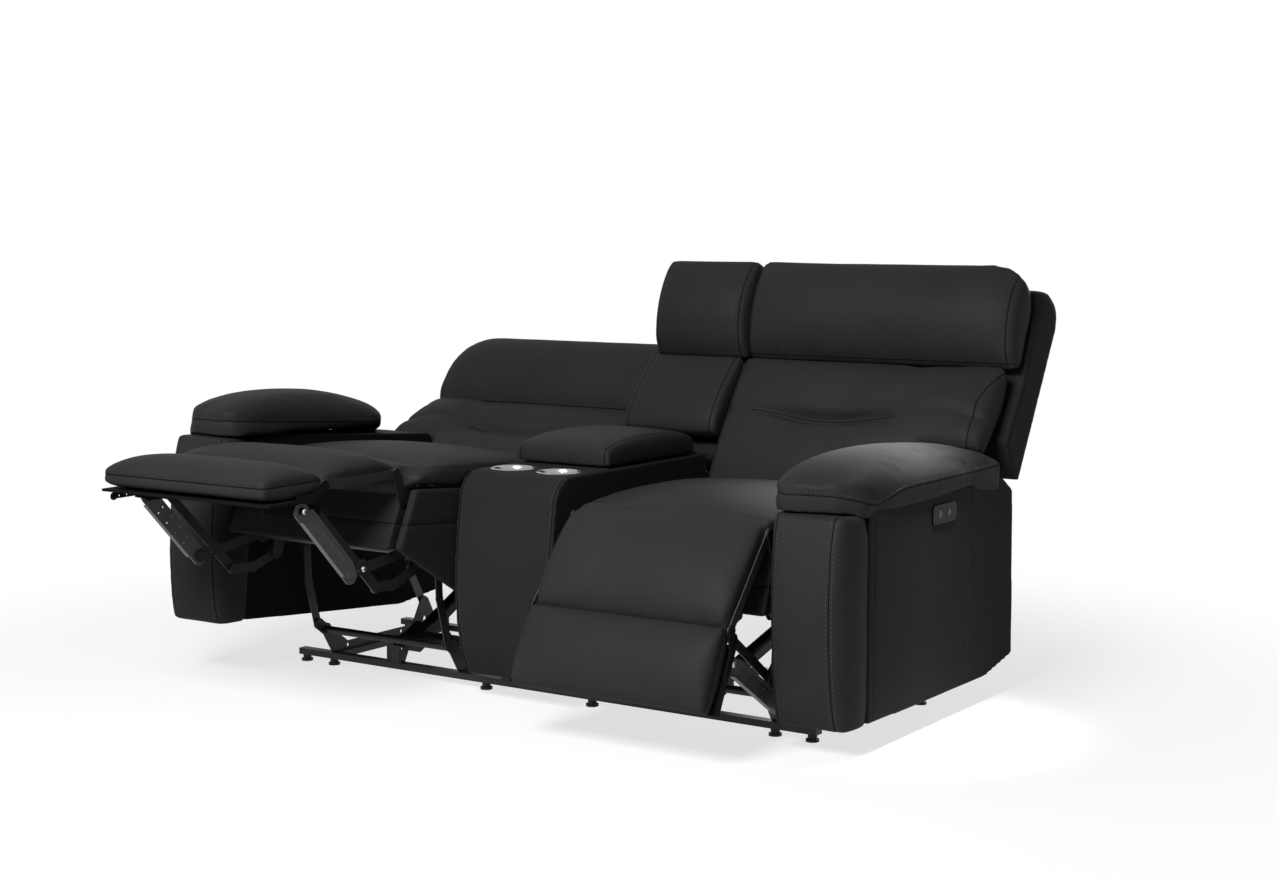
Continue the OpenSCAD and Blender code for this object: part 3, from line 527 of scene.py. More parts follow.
def inflate(piece, fronts, seams, pressure, cap, inset, voxel):
    """fronts are the ways that the padded sides face; what faces away from them stays put."""
    points, facing = coordinates(piece), normals(piece)
    points = points - facing * inset * MM
    set_coordinates(piece, points)
    held = np.all([facing @ np.array(front) < -0.25 for front in fronts], axis=0)
    for seam in seams:
        held |= (np.abs(seam.distance(points)) < voxel * 0.75) & (seam.mask(points, facing) > 0.5)
    group = piece.vertex_groups.new(name="held")
    group.add(np.flatnonzero(held).tolist(), 1.0, "REPLACE")
    cloth = piece.modifiers.new("Cloth", "CLOTH")
    for name, value in LEATHER_CLOTH.items():
        setattr(cloth.settings, name, value)
    cloth.settings.uniform_pressure_force = pressure
    cloth.settings.effector_weights.gravity = 0
    cloth.settings.vertex_group_mass = "held"
    cloth.collision_settings.use_collision = False
    cloth.point_cache.frame_start, cloth.point_cache.frame_end = 1, FRAMES
    for frame_number in range(1, FRAMES + 1):
        bpy.context.scene.frame_set(frame_number)
    after = coordinates(piece.evaluated_get(bpy.context.evaluated_depsgraph_get()))
    piece.modifiers.remove(cloth)
    piece.vertex_groups.clear()
    bpy.context.scene.frame_set(1)
    move = after - points
    length = np.linalg.norm(move, axis=1)
    print(piece.name, "swells", round(float(length.max()) / MM, 1), "mm at most before its cap of", cap)
    move *= np.minimum(1, cap * MM / np.maximum(length, 1e-9))[:, None]
    set_coordinates(piece, points + move)
    finish_modifier(piece, "SMOOTH", factor=0.5, iterations=4)

# %% [markdown]
# The left seat is the right seat's mirror image, carried by its own mechanism: it lies back with
# its leg rest up. So each of its pieces is the right one's, mirrored and then turned about the
# joint that carries it. The joints' places come from the frame, and only the turns are new.

# %% Mirror a piece to the left seat
JOINT_PLACE = {joint["name"]: Vector(joint["pos_m"]) for joint in frame["joints"] if "pos_m" in joint}
SEAT_TILT, BACK_RECLINE = 4.5, 26.0  # how far the left seat is turned, in degrees
LEG_CLOSED, LEG_RIGHT, LEG_LEFT = 20.0, 40.0, 85.0
FOLD_RATIO = 85.0 / (LEG_LEFT - LEG_CLOSED)  # the fold's turn for each degree of the leg rest
LEG_TURN = LEG_LEFT - LEG_RIGHT
CARRIED = {
    "seat": ("seat_tilt", SEAT_TILT),
    "back": ("back_recline", SEAT_TILT + BACK_RECLINE),
    "upper_pad": ("leg_rest", SEAT_TILT + LEG_TURN),
    "footrest": ("footrest_fold", SEAT_TILT + LEG_TURN * FOLD_RATIO),
}


def to_left(body):
    """The matrix that takes a piece of the right seat to its place on the left seat."""
    joint, turn = CARRIED[body]
    there, here = JOINT_PLACE["left_" + joint], JOINT_PLACE["right_" + joint]
    mirror = Matrix.Diagonal((-1, 1, 1, 1))
    here = Vector((-here.x, here.y, here.z))
    return (Matrix.Translation(there) @ Matrix.Rotation(-math.radians(turn), 4, "X")
            @ Matrix.Translation(-here) @ mirror)


print(len(JOINT_PLACE), "joints are placed by the frame")


def mirrored(piece, name, body):
    mesh = piece.data.copy()
    mesh.transform(to_left(body))
    mesh.flip_normals()
    return new_piece(name, mesh)


def corners(node):
    """The lowest and the highest corner of a solid's box."""
    points = coordinates(frame["nodes"][node])
    return points.min(0), points.max(0)

# %% [markdown]
# One recipe makes most cushions: copy, skin, shape, inflate, sew, smooth and stitch. A shape is a
# function that moves the points where the fabric overhangs or tucks in, as no board would. Both
# seats get theirs from it, and each rides on its own body and stands for its own solid.

# %% Make a cushion
def shaped_skin(piece, voxel, rounds, shape, soften, soft_rounds):
    skin(piece, voxel * MM, rounds)
    if shape:
        set_coordinates(piece, shape(coordinates(piece)))
    if soften:
        ease_region(piece, soften(coordinates(piece)), soft_rounds)


def assign(piece, body, node=None):
    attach(piece, body)
    if node:
        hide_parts(node)


def place_cover(cover, seams, side, node, body):
    """Sews a cover and sets it on its body, and mirrors it where it belongs to a seat."""
    print(cover.name, "has", len(cover.data.polygons), "faces")
    lines = sewing(side + node + "_stitching", cover, seams)
    sides = [(side, cover, lines)]
    if side:
        twins = [mirrored(piece, piece.name.replace("right_", "left_", 1), body) if piece else None
                 for piece in (cover, lines)]
        sides.append(("left_", *twins))
    for prefix, piece, sewn in sides:
        assign(piece, prefix + body, prefix + node)
        if sewn:
            assign(sewn, prefix + body)


def cushion(node, body, front, seams, voxel=8, pressure=4.0, cap=12, inset=3, ease=0.5,
            both=True, shape=None, soften=None):
    """Its voxel, cap, inset and ease are in millimetres."""
    side = "right_" if both else ""
    piece = largest_shell(side + node, side + node + "_cover")
    shaped_skin(piece, voxel, 3, shape, soften, soft_rounds=30)
    inflate(piece, [front], seams, pressure, cap, inset, voxel * MM)
    sew(piece, seams, seed=len(node), ease=ease)
    finish_modifier(piece, "SUBSURF", levels=1, render_levels=1)
    dress(piece, seat_leather, smooth=True)
    place_cover(piece, seams, side, node, body)

# %% [markdown]
# Lengths along a back or a leg pad follow its slope, so each slope is written once: which way
# runs along it, and which way its padded face looks.

# %% Slopes of the right seat
UP, FORWARD, ACROSS = (0, 0, 1), (0, -1, 0), (1, 0, 0)


def slope(y, z):
    """The unit way along a sloping cushion, and the way that its face looks."""
    long = math.hypot(y, z)
    return (0, y / long, z / long), (0, -z / long, y / long)


# How far each slope runs back and up, in millimetres
BACK_UP, BACK_FACE = slope(216, 356)
HEAD_UP, HEAD_FACE = slope(60, 239)
CONSOLE_UP, CONSOLE_FACE = slope(140, 172)


def hanging(degrees):
    """The way that a pad at an angle from upright faces, and the way that runs down it."""
    angle = math.radians(degrees)
    return (0, -math.cos(angle), math.sin(angle)), (0, -math.sin(angle), -math.cos(angle))


LEG_FACE, LEG_DOWN = hanging(LEG_RIGHT)
FOLD_FACE, FOLD_DOWN = hanging((LEG_RIGHT - LEG_CLOSED) * FOLD_RATIO)
print("the leg pads face", LEG_FACE, "and", FOLD_FACE)


def on_face(joint, face, depth):
    """A point that lies depth millimetres out along a face, from a joint's axis."""
    return JOINT_PLACE[joint] + Vector(face) * depth * MM


def in_front(face, least=0.25):
    """Picks the parts of a cover that look the same way as its face, and fades out at their edge."""
    return lambda points, facing: np.clip((facing @ np.array(face) - least) / 0.15, 0, 1)


def hump(x, middle, width):
    return np.exp(-((x - middle) / width) ** 2)


def measured(points, hinge, down, face):
    """How far each point lies down a pad from its hinge, and how far out from the hinge."""
    apart = points - np.array(hinge)
    return apart @ np.array(down), apart @ np.array(face)


def fullness(x, low, high):
    """1 over the middle of a width, and a steep fall to 0 at its two sides."""
    return 1 - np.abs(2 * (x - low) / (high - low) - 1) ** 5


def front_half(points, face):
    """1 on the padded side of a cover and 0 behind its middle."""
    outward = points @ np.array(face)
    return ramp(outward, outward.mean(), outward.mean() + 20 * MM)


def swell(points, face, along, rise, low=None, high=None):
    """Rounds a face out, most in the middle between two places along it, and not at its sides."""
    place = points @ np.array(along)
    low = place.min() if low is None else low
    high = place.max() if high is None else high
    across = fullness(points[:, 0], points[:, 0].min(), points[:, 0].max())
    full = np.sin(math.pi * np.clip((place - low) / (high - low), 0, 1))
    return points + np.outer(rise * front_half(points, face) * across * full, face)

# %% [markdown]
# The seat and the upper leg pad wear one cover, which runs from the back of the seat over its
# front edge and down the pad, so no gap opens between the two. A roll of wadding fills the
# hollow over the hinge. The cover bends there: its rear follows the seat, its front the pad.

# %% Seat and leg pad cover
HINGE = JOINT_PLACE["right_leg_rest"]
WADDING_RADIUS, CHAISE_VOXEL = 40 * MM, 8 * MM
PAD_LENGTH = 0.25
chaise = joined([largest_shell("right_seat_cushion", "seat"), largest_shell("right_leg_pad", "pad")],
                "right_chaise")
pad_low, pad_high = corners("right_leg_pad")
bpy.ops.object.select_all(action="DESELECT")
bpy.ops.mesh.primitive_cylinder_add(
    vertices=40, radius=WADDING_RADIUS, depth=pad_high[0] - pad_low[0] - 2 * MM,
    location=((pad_low[0] + pad_high[0]) / 2, HINGE.y + 35 * MM, HINGE.z - 6 * MM),
    rotation=(0, math.pi / 2, 0))
wadding = bpy.context.object
bpy.ops.object.transform_apply(location=True, rotation=True, scale=True)
chaise = joined([chaise, wadding], "right_chaise_cover")
skin(chaise, CHAISE_VOXEL, rounds=3)

# Over the hinge the seat, the wadding and the pad run into each other
points = coordinates(chaise)
over_hinge = np.hypot(points[:, 1] - HINGE.y - 30 * MM, points[:, 2] - HINGE.z - 20 * MM)
ease_region(chaise, np.clip((90 * MM - over_hinge) / (40 * MM), 0, 1), rounds=24, least=0)

# The pad's lower end is drawn down into the crease, and rounded
points = coordinates(chaise)
down, outward = measured(points, HINGE, LEG_DOWN, LEG_FACE)
set_coordinates(chaise, points + np.outer(22 * MM * ramp(down, 0.18, 0.24), LEG_DOWN))
ease_region(chaise, ramp(down, 0.17, 0.20) * ramp(outward, -0.01, 0.01), rounds=40)


def behind_hinge(points):
    return points[:, 1] > HINGE.y + 20 * MM


def sideways(facing):
    return np.clip((np.abs(facing[:, 0]) - 0.3) / 0.2, 0, 1)


# Along the seat's sides, round the pad's edge, and gathers across the pad's lower end
chaise_seams = [
    Seam((0, 0, 0.481), UP, depth=2.5, width=4, pucker=1.2, reach=18,
         where=lambda p, n: sideways(n) * behind_hinge(p)),
    Seam(on_face("right_leg_rest", LEG_FACE, 12), LEG_FACE, depth=2.5, width=4, pucker=1.2, reach=16,
         where=lambda p, n: 1.0 - behind_hinge(p)),
    Seam(HINGE + Vector(LEG_DOWN) * PAD_LENGTH, LEG_DOWN, depth=0.5, width=5, pucker=3.5, reach=40,
         where=lambda p, n: in_front(LEG_FACE, 0.2)(p, n) * (1.0 - behind_hinge(p))),
]
inflate(chaise, [UP, LEG_FACE], chaise_seams, pressure=4, cap=14, inset=3, voxel=CHAISE_VOXEL)

# The pad's face is full in the middle, and its lower edge tucks in towards the board
points = coordinates(chaise)
down, outward = measured(points, HINGE, LEG_DOWN, LEG_FACE)
tuck = 26 * MM * ramp(down, 0.19, 0.272) ** 2 * ramp(outward, -0.01, 0.02)
across = fullness(points[:, 0], pad_low[0], pad_high[0])
rise = (11 * MM * np.sin(math.pi * np.clip(down / PAD_LENGTH, 0, 1)) * np.clip(across, 0, 1)
        * ramp(outward, 0.0, 0.02))
set_coordinates(chaise, points + np.outer(rise - tuck, LEG_FACE))
sew(chaise, chaise_seams, seed=2.0, ease=0.9)
finish_modifier(chaise, "SUBSURF", levels=1, render_levels=1)
dress(chaise, seat_leather, smooth=True)
print(chaise.name, "has", len(chaise.data.polygons), "faces")

# %% [markdown]
# The left seat's cover is the same mesh, mirrored onto the seat and then bent further open over
# the hinge. Each point turns by its share, from none on the seat to the whole turn on the pad.

# %% Bend the cover to the left seat and over both hinges
BEND_FROM, BEND_TO = (85, 37), (-70, -23)  # from the hinge, back and up, in millimetres


def turned(y, z, degrees):
    """Turns a place the way that a leg rest opens."""
    a = -math.radians(1) * degrees
    return y * np.cos(a) - z * np.sin(a), y * np.sin(a) + z * np.cos(a)


def bend_points(hinge, turn):
    """The two places between which the cover bends, with the seat turned by turn degrees."""
    return [hinge + Vector((0, *turned(y, z, turn))) * MM for y, z in (BEND_FROM, BEND_TO)]


start, end = (np.array(p) for p in bend_points(HINGE, 0))
way = end - start
share = ramp((coordinates(chaise) - start) @ way / (way @ way), 0, 1)
left_chaise = mirrored(chaise, "left_chaise_cover", "seat")
points = coordinates(left_chaise)
left_hinge = JOINT_PLACE["left_leg_rest"]
y, z = turned(points[:, 1] - left_hinge.y, points[:, 2] - left_hinge.z, LEG_TURN * share)
points[:, 1], points[:, 2] = left_hinge.y + y, left_hinge.z + z
set_coordinates(left_chaise, points)

for side, cover, seat_turn in (("left_", left_chaise, SEAT_TILT + LEG_TURN / 2), ("right_", chaise, 0)):
    start, end = bend_points(JOINT_PLACE[side + "leg_rest"], seat_turn)
    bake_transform(cover)
    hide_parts(side + "seat_cushion", side + "leg_pad")
    print(cover.name, "bends over", round((end - start).length / MM), "mm")

# %% [markdown]
# The lower leg pad has a flat top panel and a side band, joined by a seam. It turns on the middle
# hinge, so the two pads meet in a deep crease.

# %% Lower leg pad
FOLD_HINGE = JOINT_PLACE["right_footrest_fold"]
fold_seams = [Seam(on_face("right_footrest_fold", FOLD_FACE, 12), FOLD_FACE, depth=2.5, width=4, pucker=1.2,
                   reach=18)]


def lifted_edge(points):
    """The upper edge reaches up into the crease, the face is full, and the rear edge stands back."""
    down, outward = measured(points, FOLD_HINGE, FOLD_DOWN, FOLD_FACE)
    points = points - np.outer(12 * MM * fall(down, 0.0, 0.04), FOLD_DOWN)
    tuck = 9 * MM * fall(down, -0.01, 0.03) * ramp(outward, 0.0, 0.02)
    points = swell(points - np.outer(tuck, FOLD_FACE), FOLD_FACE, FOLD_DOWN, 9 * MM)
    rear = outward.min()
    return points - np.outer(4 * MM * fall(outward, rear + 4 * MM, rear + 16 * MM), FOLD_FACE)


def foot_soften(points):
    """The free lower end and the upper edge are rounder than the board behind them."""
    down, outward = measured(points, FOLD_HINGE, FOLD_DOWN, FOLD_FACE)
    ends = ramp(down, 0.14, 0.17) + fall(down, 0.0, 0.03)
    return ends * ramp(outward, outward.max() - 0.022, outward.max() - 0.012)


cushion("footrest_pad", "footrest", FOLD_FACE, fold_seams, voxel=7, ease=0.9, shape=lifted_edge,
        soften=foot_soften)

# %% [markdown]
# Back cushions. The lumbar part and the upper part are filled apart, and the seam between them
# dips and pulls in hardest in the middle, where the cover folds over itself like a smile. The
# seam beside the wing follows the arm up and then runs out towards the headrest's corner.

# %% Back cushions
SMILE = 0.43  # where the lumbar seam dips lowest
BACK_FOOT, LUMBAR_HIGH = Vector((0, 0.384, 0.420)), 0.248


def smile_curve(points):
    """The lumbar seam dips in the middle and rises beside the wing."""
    return (27 * hump(points[:, 0], 0.755, 0.09) - 17 * hump(points[:, 0], SMILE, 0.13)) * MM


def smile_pull(points):
    return 0.32 + 0.95 * np.exp(-((points[:, 0] - SMILE) / 0.15) ** 4)


def wing_curve(points):
    """The seam beside the wing leans outwards above the arm."""
    return 45 * MM * (np.clip(points[:, 2] - 0.70, 0, 0.1) / 0.085) ** 1.5


lumbar = BACK_FOOT + Vector(BACK_UP) * LUMBAR_HIGH
# The lumbar seam, the one beside the wing, and the one beside the console
back_seams = [
    Seam(lumbar, BACK_UP, depth=17, width=11, pucker=2.8, reach=26, where=in_front(BACK_FACE, 0.35),
         bend=smile_curve, pull=smile_pull),
    Seam((0.841, 0, 0), ACROSS, depth=2.5, width=4, reach=16, stitch=(-7,), bend=wing_curve,
         where=in_front(BACK_FACE, 0.0)),
    Seam((0.158, 0, 0), ACROSS, depth=1.5, width=4, pucker=0.8, reach=14, where=in_front(BACK_FACE, 0.0)),
]


def back_shape(points):
    """The part beside the wing hangs down to the arm pad, and the top tucks under the headrest."""
    x, z = points[:, 0], points[:, 2]
    hang = 36 * MM * ramp(x, 0.655, 0.70) * fall(z, 0.70, 0.765)
    points = points + np.outer(9 * MM * ramp(z, 0.745, 0.785) - hang, BACK_UP)
    height = lumbar @ Vector(BACK_UP)
    points = swell(points, BACK_FACE, BACK_UP, 8 * MM, high=height)
    return swell(points, BACK_FACE, BACK_UP, 8 * MM, low=height)


# The part beside the wing runs into the rest without a step
cushion("back_cushion", "back", BACK_FACE, back_seams, cap=14, ease=0.9, shape=back_shape,
        soften=lambda p: ramp(p[:, 0], 0.60, 0.66) * fall(p[:, 0], 0.74, 0.80) * ramp(p[:, 2], 0.55, 0.62))

# %% [markdown]
# A fat roll whose cover has a seam near each end, and is gathered where its lower edge is drawn
# in over the back cushion.

# %% Headrests
def low_edge(points, facing):
    return np.clip((0.845 - points[:, 2]) / 0.03, 0, 1) * in_front(HEAD_FACE, 0.2)(points, facing)


# Near the outer end, near the console, and gathers along the lower edge
head_seams = [
    Seam((0.872, 0, 0), ACROSS, depth=2.5, reach=18, stitch=(-6,)),
    Seam((0.156, 0, 0), ACROSS, depth=1.5, width=4, pucker=0.8, reach=14, where=in_front(HEAD_FACE, 0.0)),
    Seam((0, 0, 0.792), UP, depth=0.5, width=5, pucker=4.5, reach=26, where=low_edge),
]


def head_shape(points):
    """The lower edge reaches down over the back cushion, and its front is drawn in there."""
    points = points - np.outer(7 * MM * fall(points[:, 2], 0.79, 0.85), HEAD_UP)
    tuck = 15 * MM * front_half(points, HEAD_FACE) * fall(points[:, 2], 0.775, 0.835)
    points = points - np.outer(tuck, HEAD_FACE)
    return swell(points, HEAD_FACE, HEAD_UP, 14 * MM)


cushion("headrest", "back", HEAD_FACE, head_seams, cap=14, ease=0.8, shape=head_shape)

# %% [markdown]
# A bolster wraps the arm's front end, and a long pad lies on its top with a gathered front
# corner. Both have grey top-stitching.

# %% Arm cushions
bolster_seams = [
    Seam((0.870, 0, 0), ACROSS, depth=2.2, reach=15, stitch=(-6, 6)),
    Seam((0.733, 0, 0), ACROSS, depth=1.5, pucker=0.5, stitch=(6,)),
]


def bolster_shape(points):
    """The rear edge is drawn back and out until it closes on the arm's side."""
    points[:, 0] += 10 * MM * ramp(points[:, 0], 0.80, 0.88) * ramp(points[:, 1], -0.26, -0.20)
    points[:, 1] += 12 * MM * ramp(points[:, 1], -0.215, -0.175)
    return points


cushion("arm_bolster", "seat", FORWARD, bolster_seams, voxel=7, pressure=3, cap=8, inset=1,
        ease=0.7, shape=bolster_shape, soften=lambda p: fall(p[:, 1], -0.28, -0.235))


def pad_front(points):
    return 0.5 + 0.9 * np.clip((-0.12 - points[:, 1]) / 0.12, 0, 1)


def pad_welt(points):
    """The welt dips at the outer front corner."""
    return -24 * MM * hump(points[:, 1], -0.15, 0.07) * ramp(points[:, 0], 0.83, 0.90)


PAD_KNEE = -0.05  # the pad's plan is reshaped in front of this
PAD_FRONT, PAD_SIDE = -0.268, 0.9065  # its foremost edge, and its outer side
INNER_END, INNER_ROUND = 0.757, 0.055  # where the round inner corner ends, and how wide it is
OUTER_START, OUTER_ROUND, OUTER_DEEP = 0.845, 0.067, 0.070
SLANT = 0.22  # how fast the front edge falls back towards the outer side
SLICES = 23


def pad_shape(points):
    """Rounds the pad's front in plan, and drops its lower band over the bolster and the arm's side."""
    x, y, z = points.T.copy()
    steps = np.linspace(x.min(), x.max(), SLICES + 1)
    slot = np.clip(np.digitize(x, steps) - 1, 0, SLICES - 1)
    front = np.array([y[slot == k].min() for k in range(SLICES)])
    old = np.interp(x, (steps[:-1] + steps[1:]) / 2, front)
    inner = np.clip((INNER_END - x) / INNER_ROUND, 0, 1)
    outer = np.clip((x - OUTER_START) / OUTER_ROUND, 0, 0.999)
    new = (PAD_FRONT + INNER_ROUND * (1 - np.sqrt(1 - inner ** 2)) + SLANT * np.clip(x - INNER_END, 0, 1)
           + OUTER_DEEP * (1 - np.sqrt(1 - outer ** 2)))
    points[:, 1] = np.where(y < PAD_KNEE, PAD_KNEE + (y - PAD_KNEE) * (PAD_KNEE - new) / (PAD_KNEE - old), y)
    low, side = fall(z, 0.540, 0.572), ramp(x, 0.880, 0.905)
    points[:, 2] -= low * MM * (9 * (1 - side) * fall(y, -0.15, 0.0) + 20 * side)
    points[:, 0] += side * low * (PAD_SIDE - x)
    points[:, 2] -= 36 * MM * ramp(y, 0.31, 0.385) * fall(z, 0.532, 0.565)
    return points


pad_seams = [Seam((0, 0, 0.560), UP, depth=2.2, pucker=2.8, reach=15, stitch=(7,), pull=pad_front,
                  bend=pad_welt)]
# The top rolls over into the front band and the side
cushion("arm_pad", "seat", UP, pad_seams, voxel=7, cap=8, inset=1, shape=pad_shape,
        soften=lambda p: ramp(p[:, 2], 0.545, 0.565) * fall(p[:, 1], 0.0, 0.2))

# %% [markdown]
# The console's own back cushion and headrest, and the padded lid of its bin. They are narrow, so
# their seams run along both sides.

# %% Console cushions
def edge_seams(x, offset=0, **sizes):
    """The same seam at both sides of a narrow piece, with its stitching further in."""
    return [Seam((s * x, 0, 0), ACROSS, stitch=(-s * offset,) if offset else (), **sizes) for s in (-1, 1)]


def console_back_shape(points):
    return points + np.outer(9 * MM * ramp(points[:, 2], 0.74, 0.775), CONSOLE_UP)


console_seams = edge_seams(0.125, depth=2, reach=14)
for node, face, shape in (("console_back_cushion", CONSOLE_FACE, console_back_shape),
                          ("console_headrest", HEAD_FACE, head_shape)):
    cushion(node, "base", face, console_seams, voxel=7, cap=10, inset=2, both=False, shape=shape)
# The lid cover's edge hangs down past the plate
cushion("console_lid", "lid", UP, edge_seams(0.124, 6, depth=2.2, pucker=0.8), voxel=6, cap=9, inset=2,
        both=False, shape=lambda p: p - np.outer(15 * MM * fall(p[:, 2], 0.575, 0.605), UP))

# %% [markdown]
# Some soft solids also hold a stiff part: the upper leg pad its two hinge straps, and the lid its
# plate with the hinge leaves. Those parts are copied from the same solids and stay as they are.

# %% Straps and lid plate
def stiff_parts(node, name, body, finish):
    parts = shells(node, name)
    bpy.data.objects.remove(parts[0])
    piece = joined(parts[1:], name)
    dress(piece, finish)
    assign(piece, body, node)
    print(name, "has", len(piece.data.polygons), "faces")


for side in ("left_", "right_"):
    stiff_parts(side + "leg_pad", side + "leg_pad_straps", side + "upper_pad", link_paint)
stiff_parts("console_lid", "lid_plate", "lid", liner)

# %% [markdown]
# Arms, backs, apron and console are boards with thin padding under tight leather. Each is its
# own solid with its corners eased, and grooves where the panels are sewn.

# %% Panels
def panel(node, body, voxel=6, rounds=3, seams=(), both=True, shape=None, soften=None):
    side = "right_" if both else ""
    piece = joined(shells(side + node, side + node), side + node + "_skin")
    shaped_skin(piece, voxel, rounds, shape, soften, soft_rounds=80)
    sew(piece, seams, seed=3.1, ease=0.4)
    dress(piece, panel_leather, smooth=True)
    place_cover(piece, seams, side, node, body)
    return piece


def line_faces(cover, picked):
    """Gives the faces that picked(face) chooses the liner's finish."""
    cover.data.materials.append(liner)
    lined = [face for face in cover.data.polygons if picked(face)]
    for face in lined:
        face.material_index = 1
    print(cover.name, "has", len(lined), "lined faces")


outside = in_front(ACROSS, 0.5)
# Down the arm's outer side, near its rear end and behind the bolster
arm_seams = [
    Seam((0, 0.322, 0), (0, 1, 0), depth=1.5, width=3, pucker=0.4, stitch=(-5, 5), where=outside),
    Seam((0, -0.156, 0), (0, 1, 0), depth=1.5, width=3, pucker=0.5, where=outside),
]
ARM_INNER_SIDE = 0.76  # nearer the middle than this, the side beside the seat is bare board
# The arm's front face stands a little further out, under the bolster
arm = panel("arm_box", "seat", voxel=5, rounds=2, seams=arm_seams,
            shape=lambda p: p + np.outer(5 * MM * fall(p[:, 1], -0.165, -0.14), FORWARD))
for cover, way in ((arm, 1), (bpy.data.objects["left_arm_box_skin"], -1)):
    line_faces(cover, lambda face: face.normal.x * way < -0.5 and abs(face.center.x) < ARM_INNER_SIDE)
on_rear = in_front(tuple(-c for c in BACK_FACE), 0.4)
shell_seams = [Seam((x, 0, 0), ACROSS, depth=1.5, width=3, pucker=0.4, stitch=(offset,), where=on_rear)
               for x, offset in ((0.20, 5), (0.84, -5))]
# The wing's upper corner is rounder than the rest
panel("back_shell", "back", rounds=8, seams=shell_seams,
      soften=lambda p: ramp(p[:, 0], 0.80, 0.86) * ramp(p[:, 2], 0.86, 0.92))
apron_seam = Seam((0, 0, 0.352), UP, depth=2.5, width=5, pucker=0.8, reach=16)
panel("seat_apron", "seat", voxel=5, seams=[apron_seam])
panel("console_back_shell", "base", both=False)
box_seams = edge_seams(0.134, 5, depth=1.8, width=3, pucker=0.6,
                       where=lambda p, n: np.clip((0.75 - np.abs(n[:, 0])) / 0.15, 0, 1))
console_box = panel("console_box", "base", voxel=5, rounds=2, seams=box_seams, both=False)

# %% [markdown]
# The console's bin is lined with black board, so the faces within it get that finish.

# %% Line the bin
BIN_HALF_WIDTH, BIN_FLOOR = 0.104, 0.30
lid_low, lid_high = corners("console_lid")


def in_bin(face):
    x, y, z = face.center
    return (abs(x) < BIN_HALF_WIDTH and lid_low[1] < y < lid_high[1] - 10 * MM
            and BIN_FLOOR < z < lid_low[2] - 6 * MM)


line_faces(console_box, in_bin)

# %% [markdown]
# The cups are spun from stainless sheet: a rolled rim, a wall that narrows downwards so that cups
# lift out, and a small step above the bottom. The leaning wall throws the room's light back out,
# which is why the wells look bright from a low angle.

# %% Cup wells
CUP_PROFILE = ((0, -67.5), (32, -67.5), (35, -65), (37, -60), (38.5, -58), (43, -8), (44.6, -1),
               (46.5, 1.3), (49, 1.9), (52, 1.6), (54, 0.2), (54, -0.8), (47, -0.6), (44.4, -8),
               (40, -58.5), (37, -66), (33, -69), (0, -69))
RIM_RADIUS, RIM_HIGH = 54 * MM, 1.9 * MM


def spun(name, profile, steps):
    """Turns a profile of (radius, height) in millimetres about the Z axis."""
    piece = drawn(name, [(r * MM, 0, h * MM) for r, h in profile],
                  [(i, i + 1) for i in range(len(profile) - 1)], [])
    with whole_mesh(piece):
        bpy.ops.mesh.spin(steps=steps, angle=2 * math.pi, center=(0, 0, 0), axis=(0, 0, 1))
        merge_and_face_out()
    bpy.ops.object.shade_smooth_by_angle(angle=math.radians(40))
    return piece


def copy_at(pattern, name, place, finish):
    piece = new_piece(name, pattern.data.copy())
    piece.data.transform(place)
    dress(piece, finish)
    return piece


well_low, well_high = corners("cup_wells")
CUP_X, CUP_Y = well_high[0] - RIM_RADIUS, (well_low[1] + well_high[1]) / 2
cup = spun("cup", CUP_PROFILE, steps=56)
for side, x in (("left", -CUP_X), ("right", CUP_X)):
    well = copy_at(cup, side + "_cup", Matrix.Translation((x, CUP_Y, well_high[2] - RIM_HIGH)), cup_steel)
    assign(well, "base", "cup_wells")
bpy.data.objects.remove(cup)
print("cups at", round(float(CUP_X), 4), round(float(CUP_Y), 4))

# %% [markdown]
# The links turn on shouldered rivets with bright zinc heads. One domed head is spun, and then set
# on the outermost link at each pivot, on both sides of both seats.

# %% Rivet heads
RIVET_PROFILE = ((0, 3), (3, 2.8), (5.6, 1.8), (7, 0), (7, -0.6), (0, -0.6))
RIVETS = (("crank", "crank_swing"), ("crank", "long_link_swing"), ("channel", "channel_swing"))
rivet = spun("rivet", RIVET_PROFILE, steps=20)
for side in ("left_", "right_"):
    for body, joint in RIVETS:
        low, high = corners(side + body + "_link")
        at = JOINT_PLACE[side + joint]
        for way, face, end in ((-1, low[0], "_rivet_inner"), (1, high[0], "_rivet_outer")):
            place = Matrix.Translation((face, at.y, at.z)) @ Matrix.Rotation(way * math.pi / 2, 4, "Y")
            assign(copy_at(rivet, side + joint + end, place, zinc), side + body)
bpy.data.objects.remove(rivet)
print(4 * len(RIVETS), "rivet heads")

# %% [markdown]
# The studio. A white floor that keeps the sofa's shadow and fades to the white background, which
# the camera, glossy and clear surfaces see at full white while everything else gets less of it.

# %% Floor and background
FLOOR_SIZE = 40
FADE_FROM, FADE_TO, FLOOR_GLOW = 1.05, 2.3, 0.72
WORLD_FILL = 0.1
bpy.ops.object.select_all(action="DESELECT")
bpy.ops.mesh.primitive_plane_add(size=FLOOR_SIZE, location=(0, 0, 0))
floor = bpy.context.object
floor.name = "studio_floor"


def seen_directly(tree):
    """1 for a ray from the camera or off something glossy or clear, else 0."""
    path = add(tree, "LightPath")
    either = add(tree, "Math", [(0, path, "Is Camera Ray"), (1, path, "Is Glossy Ray")], operation="MAXIMUM")
    return add(tree, "Math", [(0, either, 0), (1, path, "Is Transmission Ray")], operation="MAXIMUM")


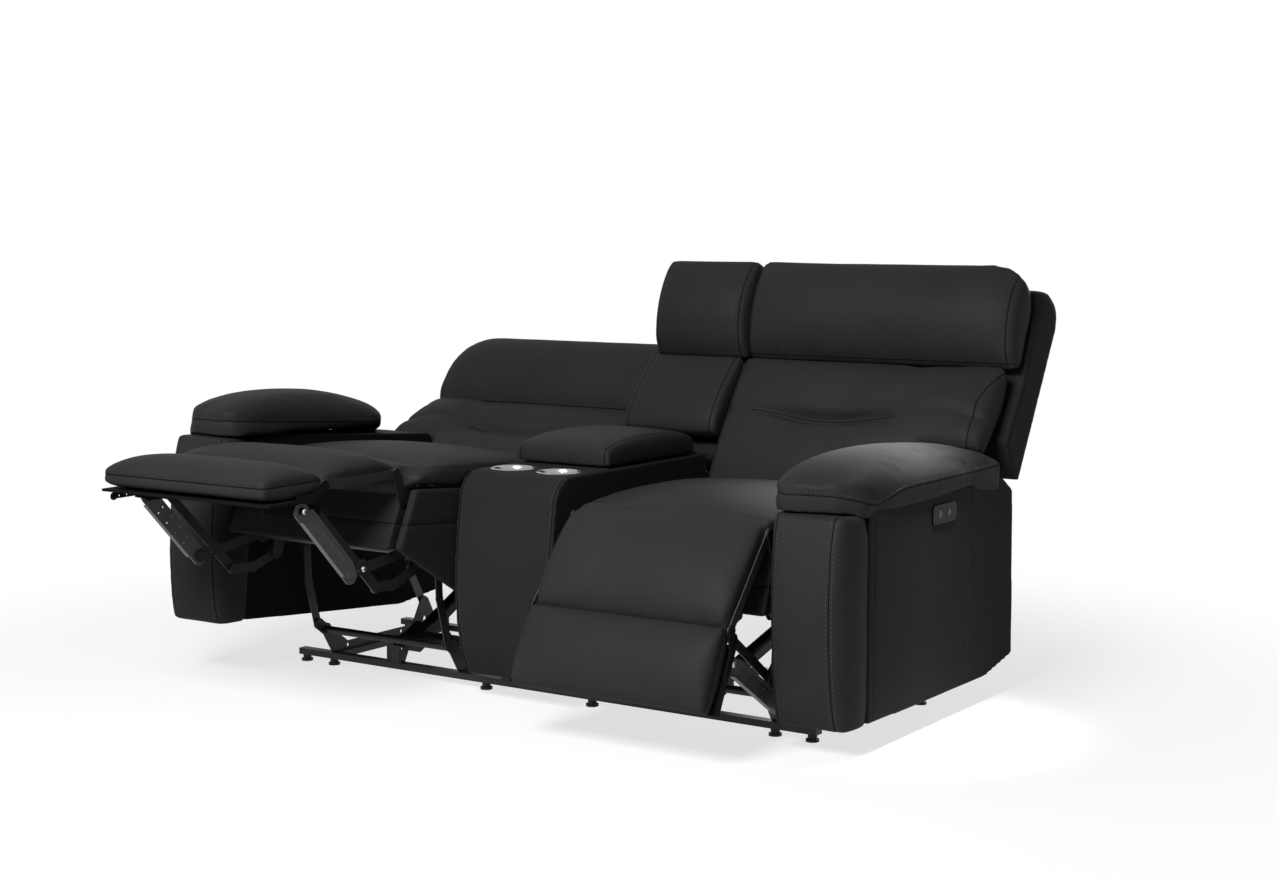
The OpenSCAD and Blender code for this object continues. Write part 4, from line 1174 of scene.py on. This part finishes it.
floor_paint, tree, place = new_material("white_studio_vinyl")
away = add(tree, "VectorMath", [(0, place, "Object")], operation="LENGTH")
fade = add(tree, "MapRange", [("Value", away, "Value")],
           [("From Min", FADE_FROM), ("From Max", FADE_TO), ("To Min", FLOOR_GLOW)],
           interpolation_type="SMOOTHSTEP")
how_much = add(tree, "Math", [(0, fade, 0), (1, seen_directly(tree), 0)], operation="MULTIPLY")
matt = add(tree, "BsdfDiffuse", (), [("Color", colour("#f4f4f4"))])
glow = add(tree, "Emission", (), [("Color", (1, 1, 1, 1)), ("Strength", 1)])
blended = add(tree, "MixShader", [(0, how_much, 0), (1, matt, 0), (2, glow, 0)])
add(tree, "OutputMaterial", [("Surface", blended, 0)])
floor.data.materials.append(floor_paint)

world = bpy.data.worlds.new("white_studio")
bpy.context.scene.world = world
world.use_nodes = True
tree = world.node_tree
tree.nodes.clear()
level = add(tree, "MapRange", [("Value", seen_directly(tree), 0)], [("To Min", WORLD_FILL)])
sky = add(tree, "Background", [("Strength", level, 0)], [("Color", (1, 1, 1, 1))])
add(tree, "OutputWorld", [("Surface", sky, 0)])
print("the floor fades from", FADE_FROM, "to", FADE_TO, "m")

# %% [markdown]
# A big soft box above and in front does most of the lighting. A small one with a narrow beam
# lights the top of the right arm, which is the brightest leather in the photo. A weak, low one
# keeps the back from going black.

# %% Lamps
def soft_box(name, at, towards, size, watts, spread=180):
    bpy.ops.object.light_add(type="AREA", location=at)
    lamp = bpy.context.object
    lamp.name = name
    lamp.data.shape = "RECTANGLE"
    lamp.data.size, lamp.data.size_y = size
    lamp.data.energy = watts
    lamp.data.spread = math.radians(spread)
    lamp.rotation_euler = (Vector(towards) - Vector(at)).to_track_quat("-Z", "Y").to_euler()
    print(name, "lamp of", watts, "W")


soft_box("key", (0.5, -3.0, 2.75), (0.3, 0, 0.7), (1.5, 1.2), watts=205)
soft_box("top", (0.93, 0.08, 1.75), (0.79, 0.1, 0.6), (0.12, 0.45), watts=5, spread=30)
soft_box("rear", (-0.3, 3.6, 0.8), (0, 0.6, 0.5), (2.4, 1.0), watts=40)
bpy.context.scene.view_settings.view_transform = "Standard"
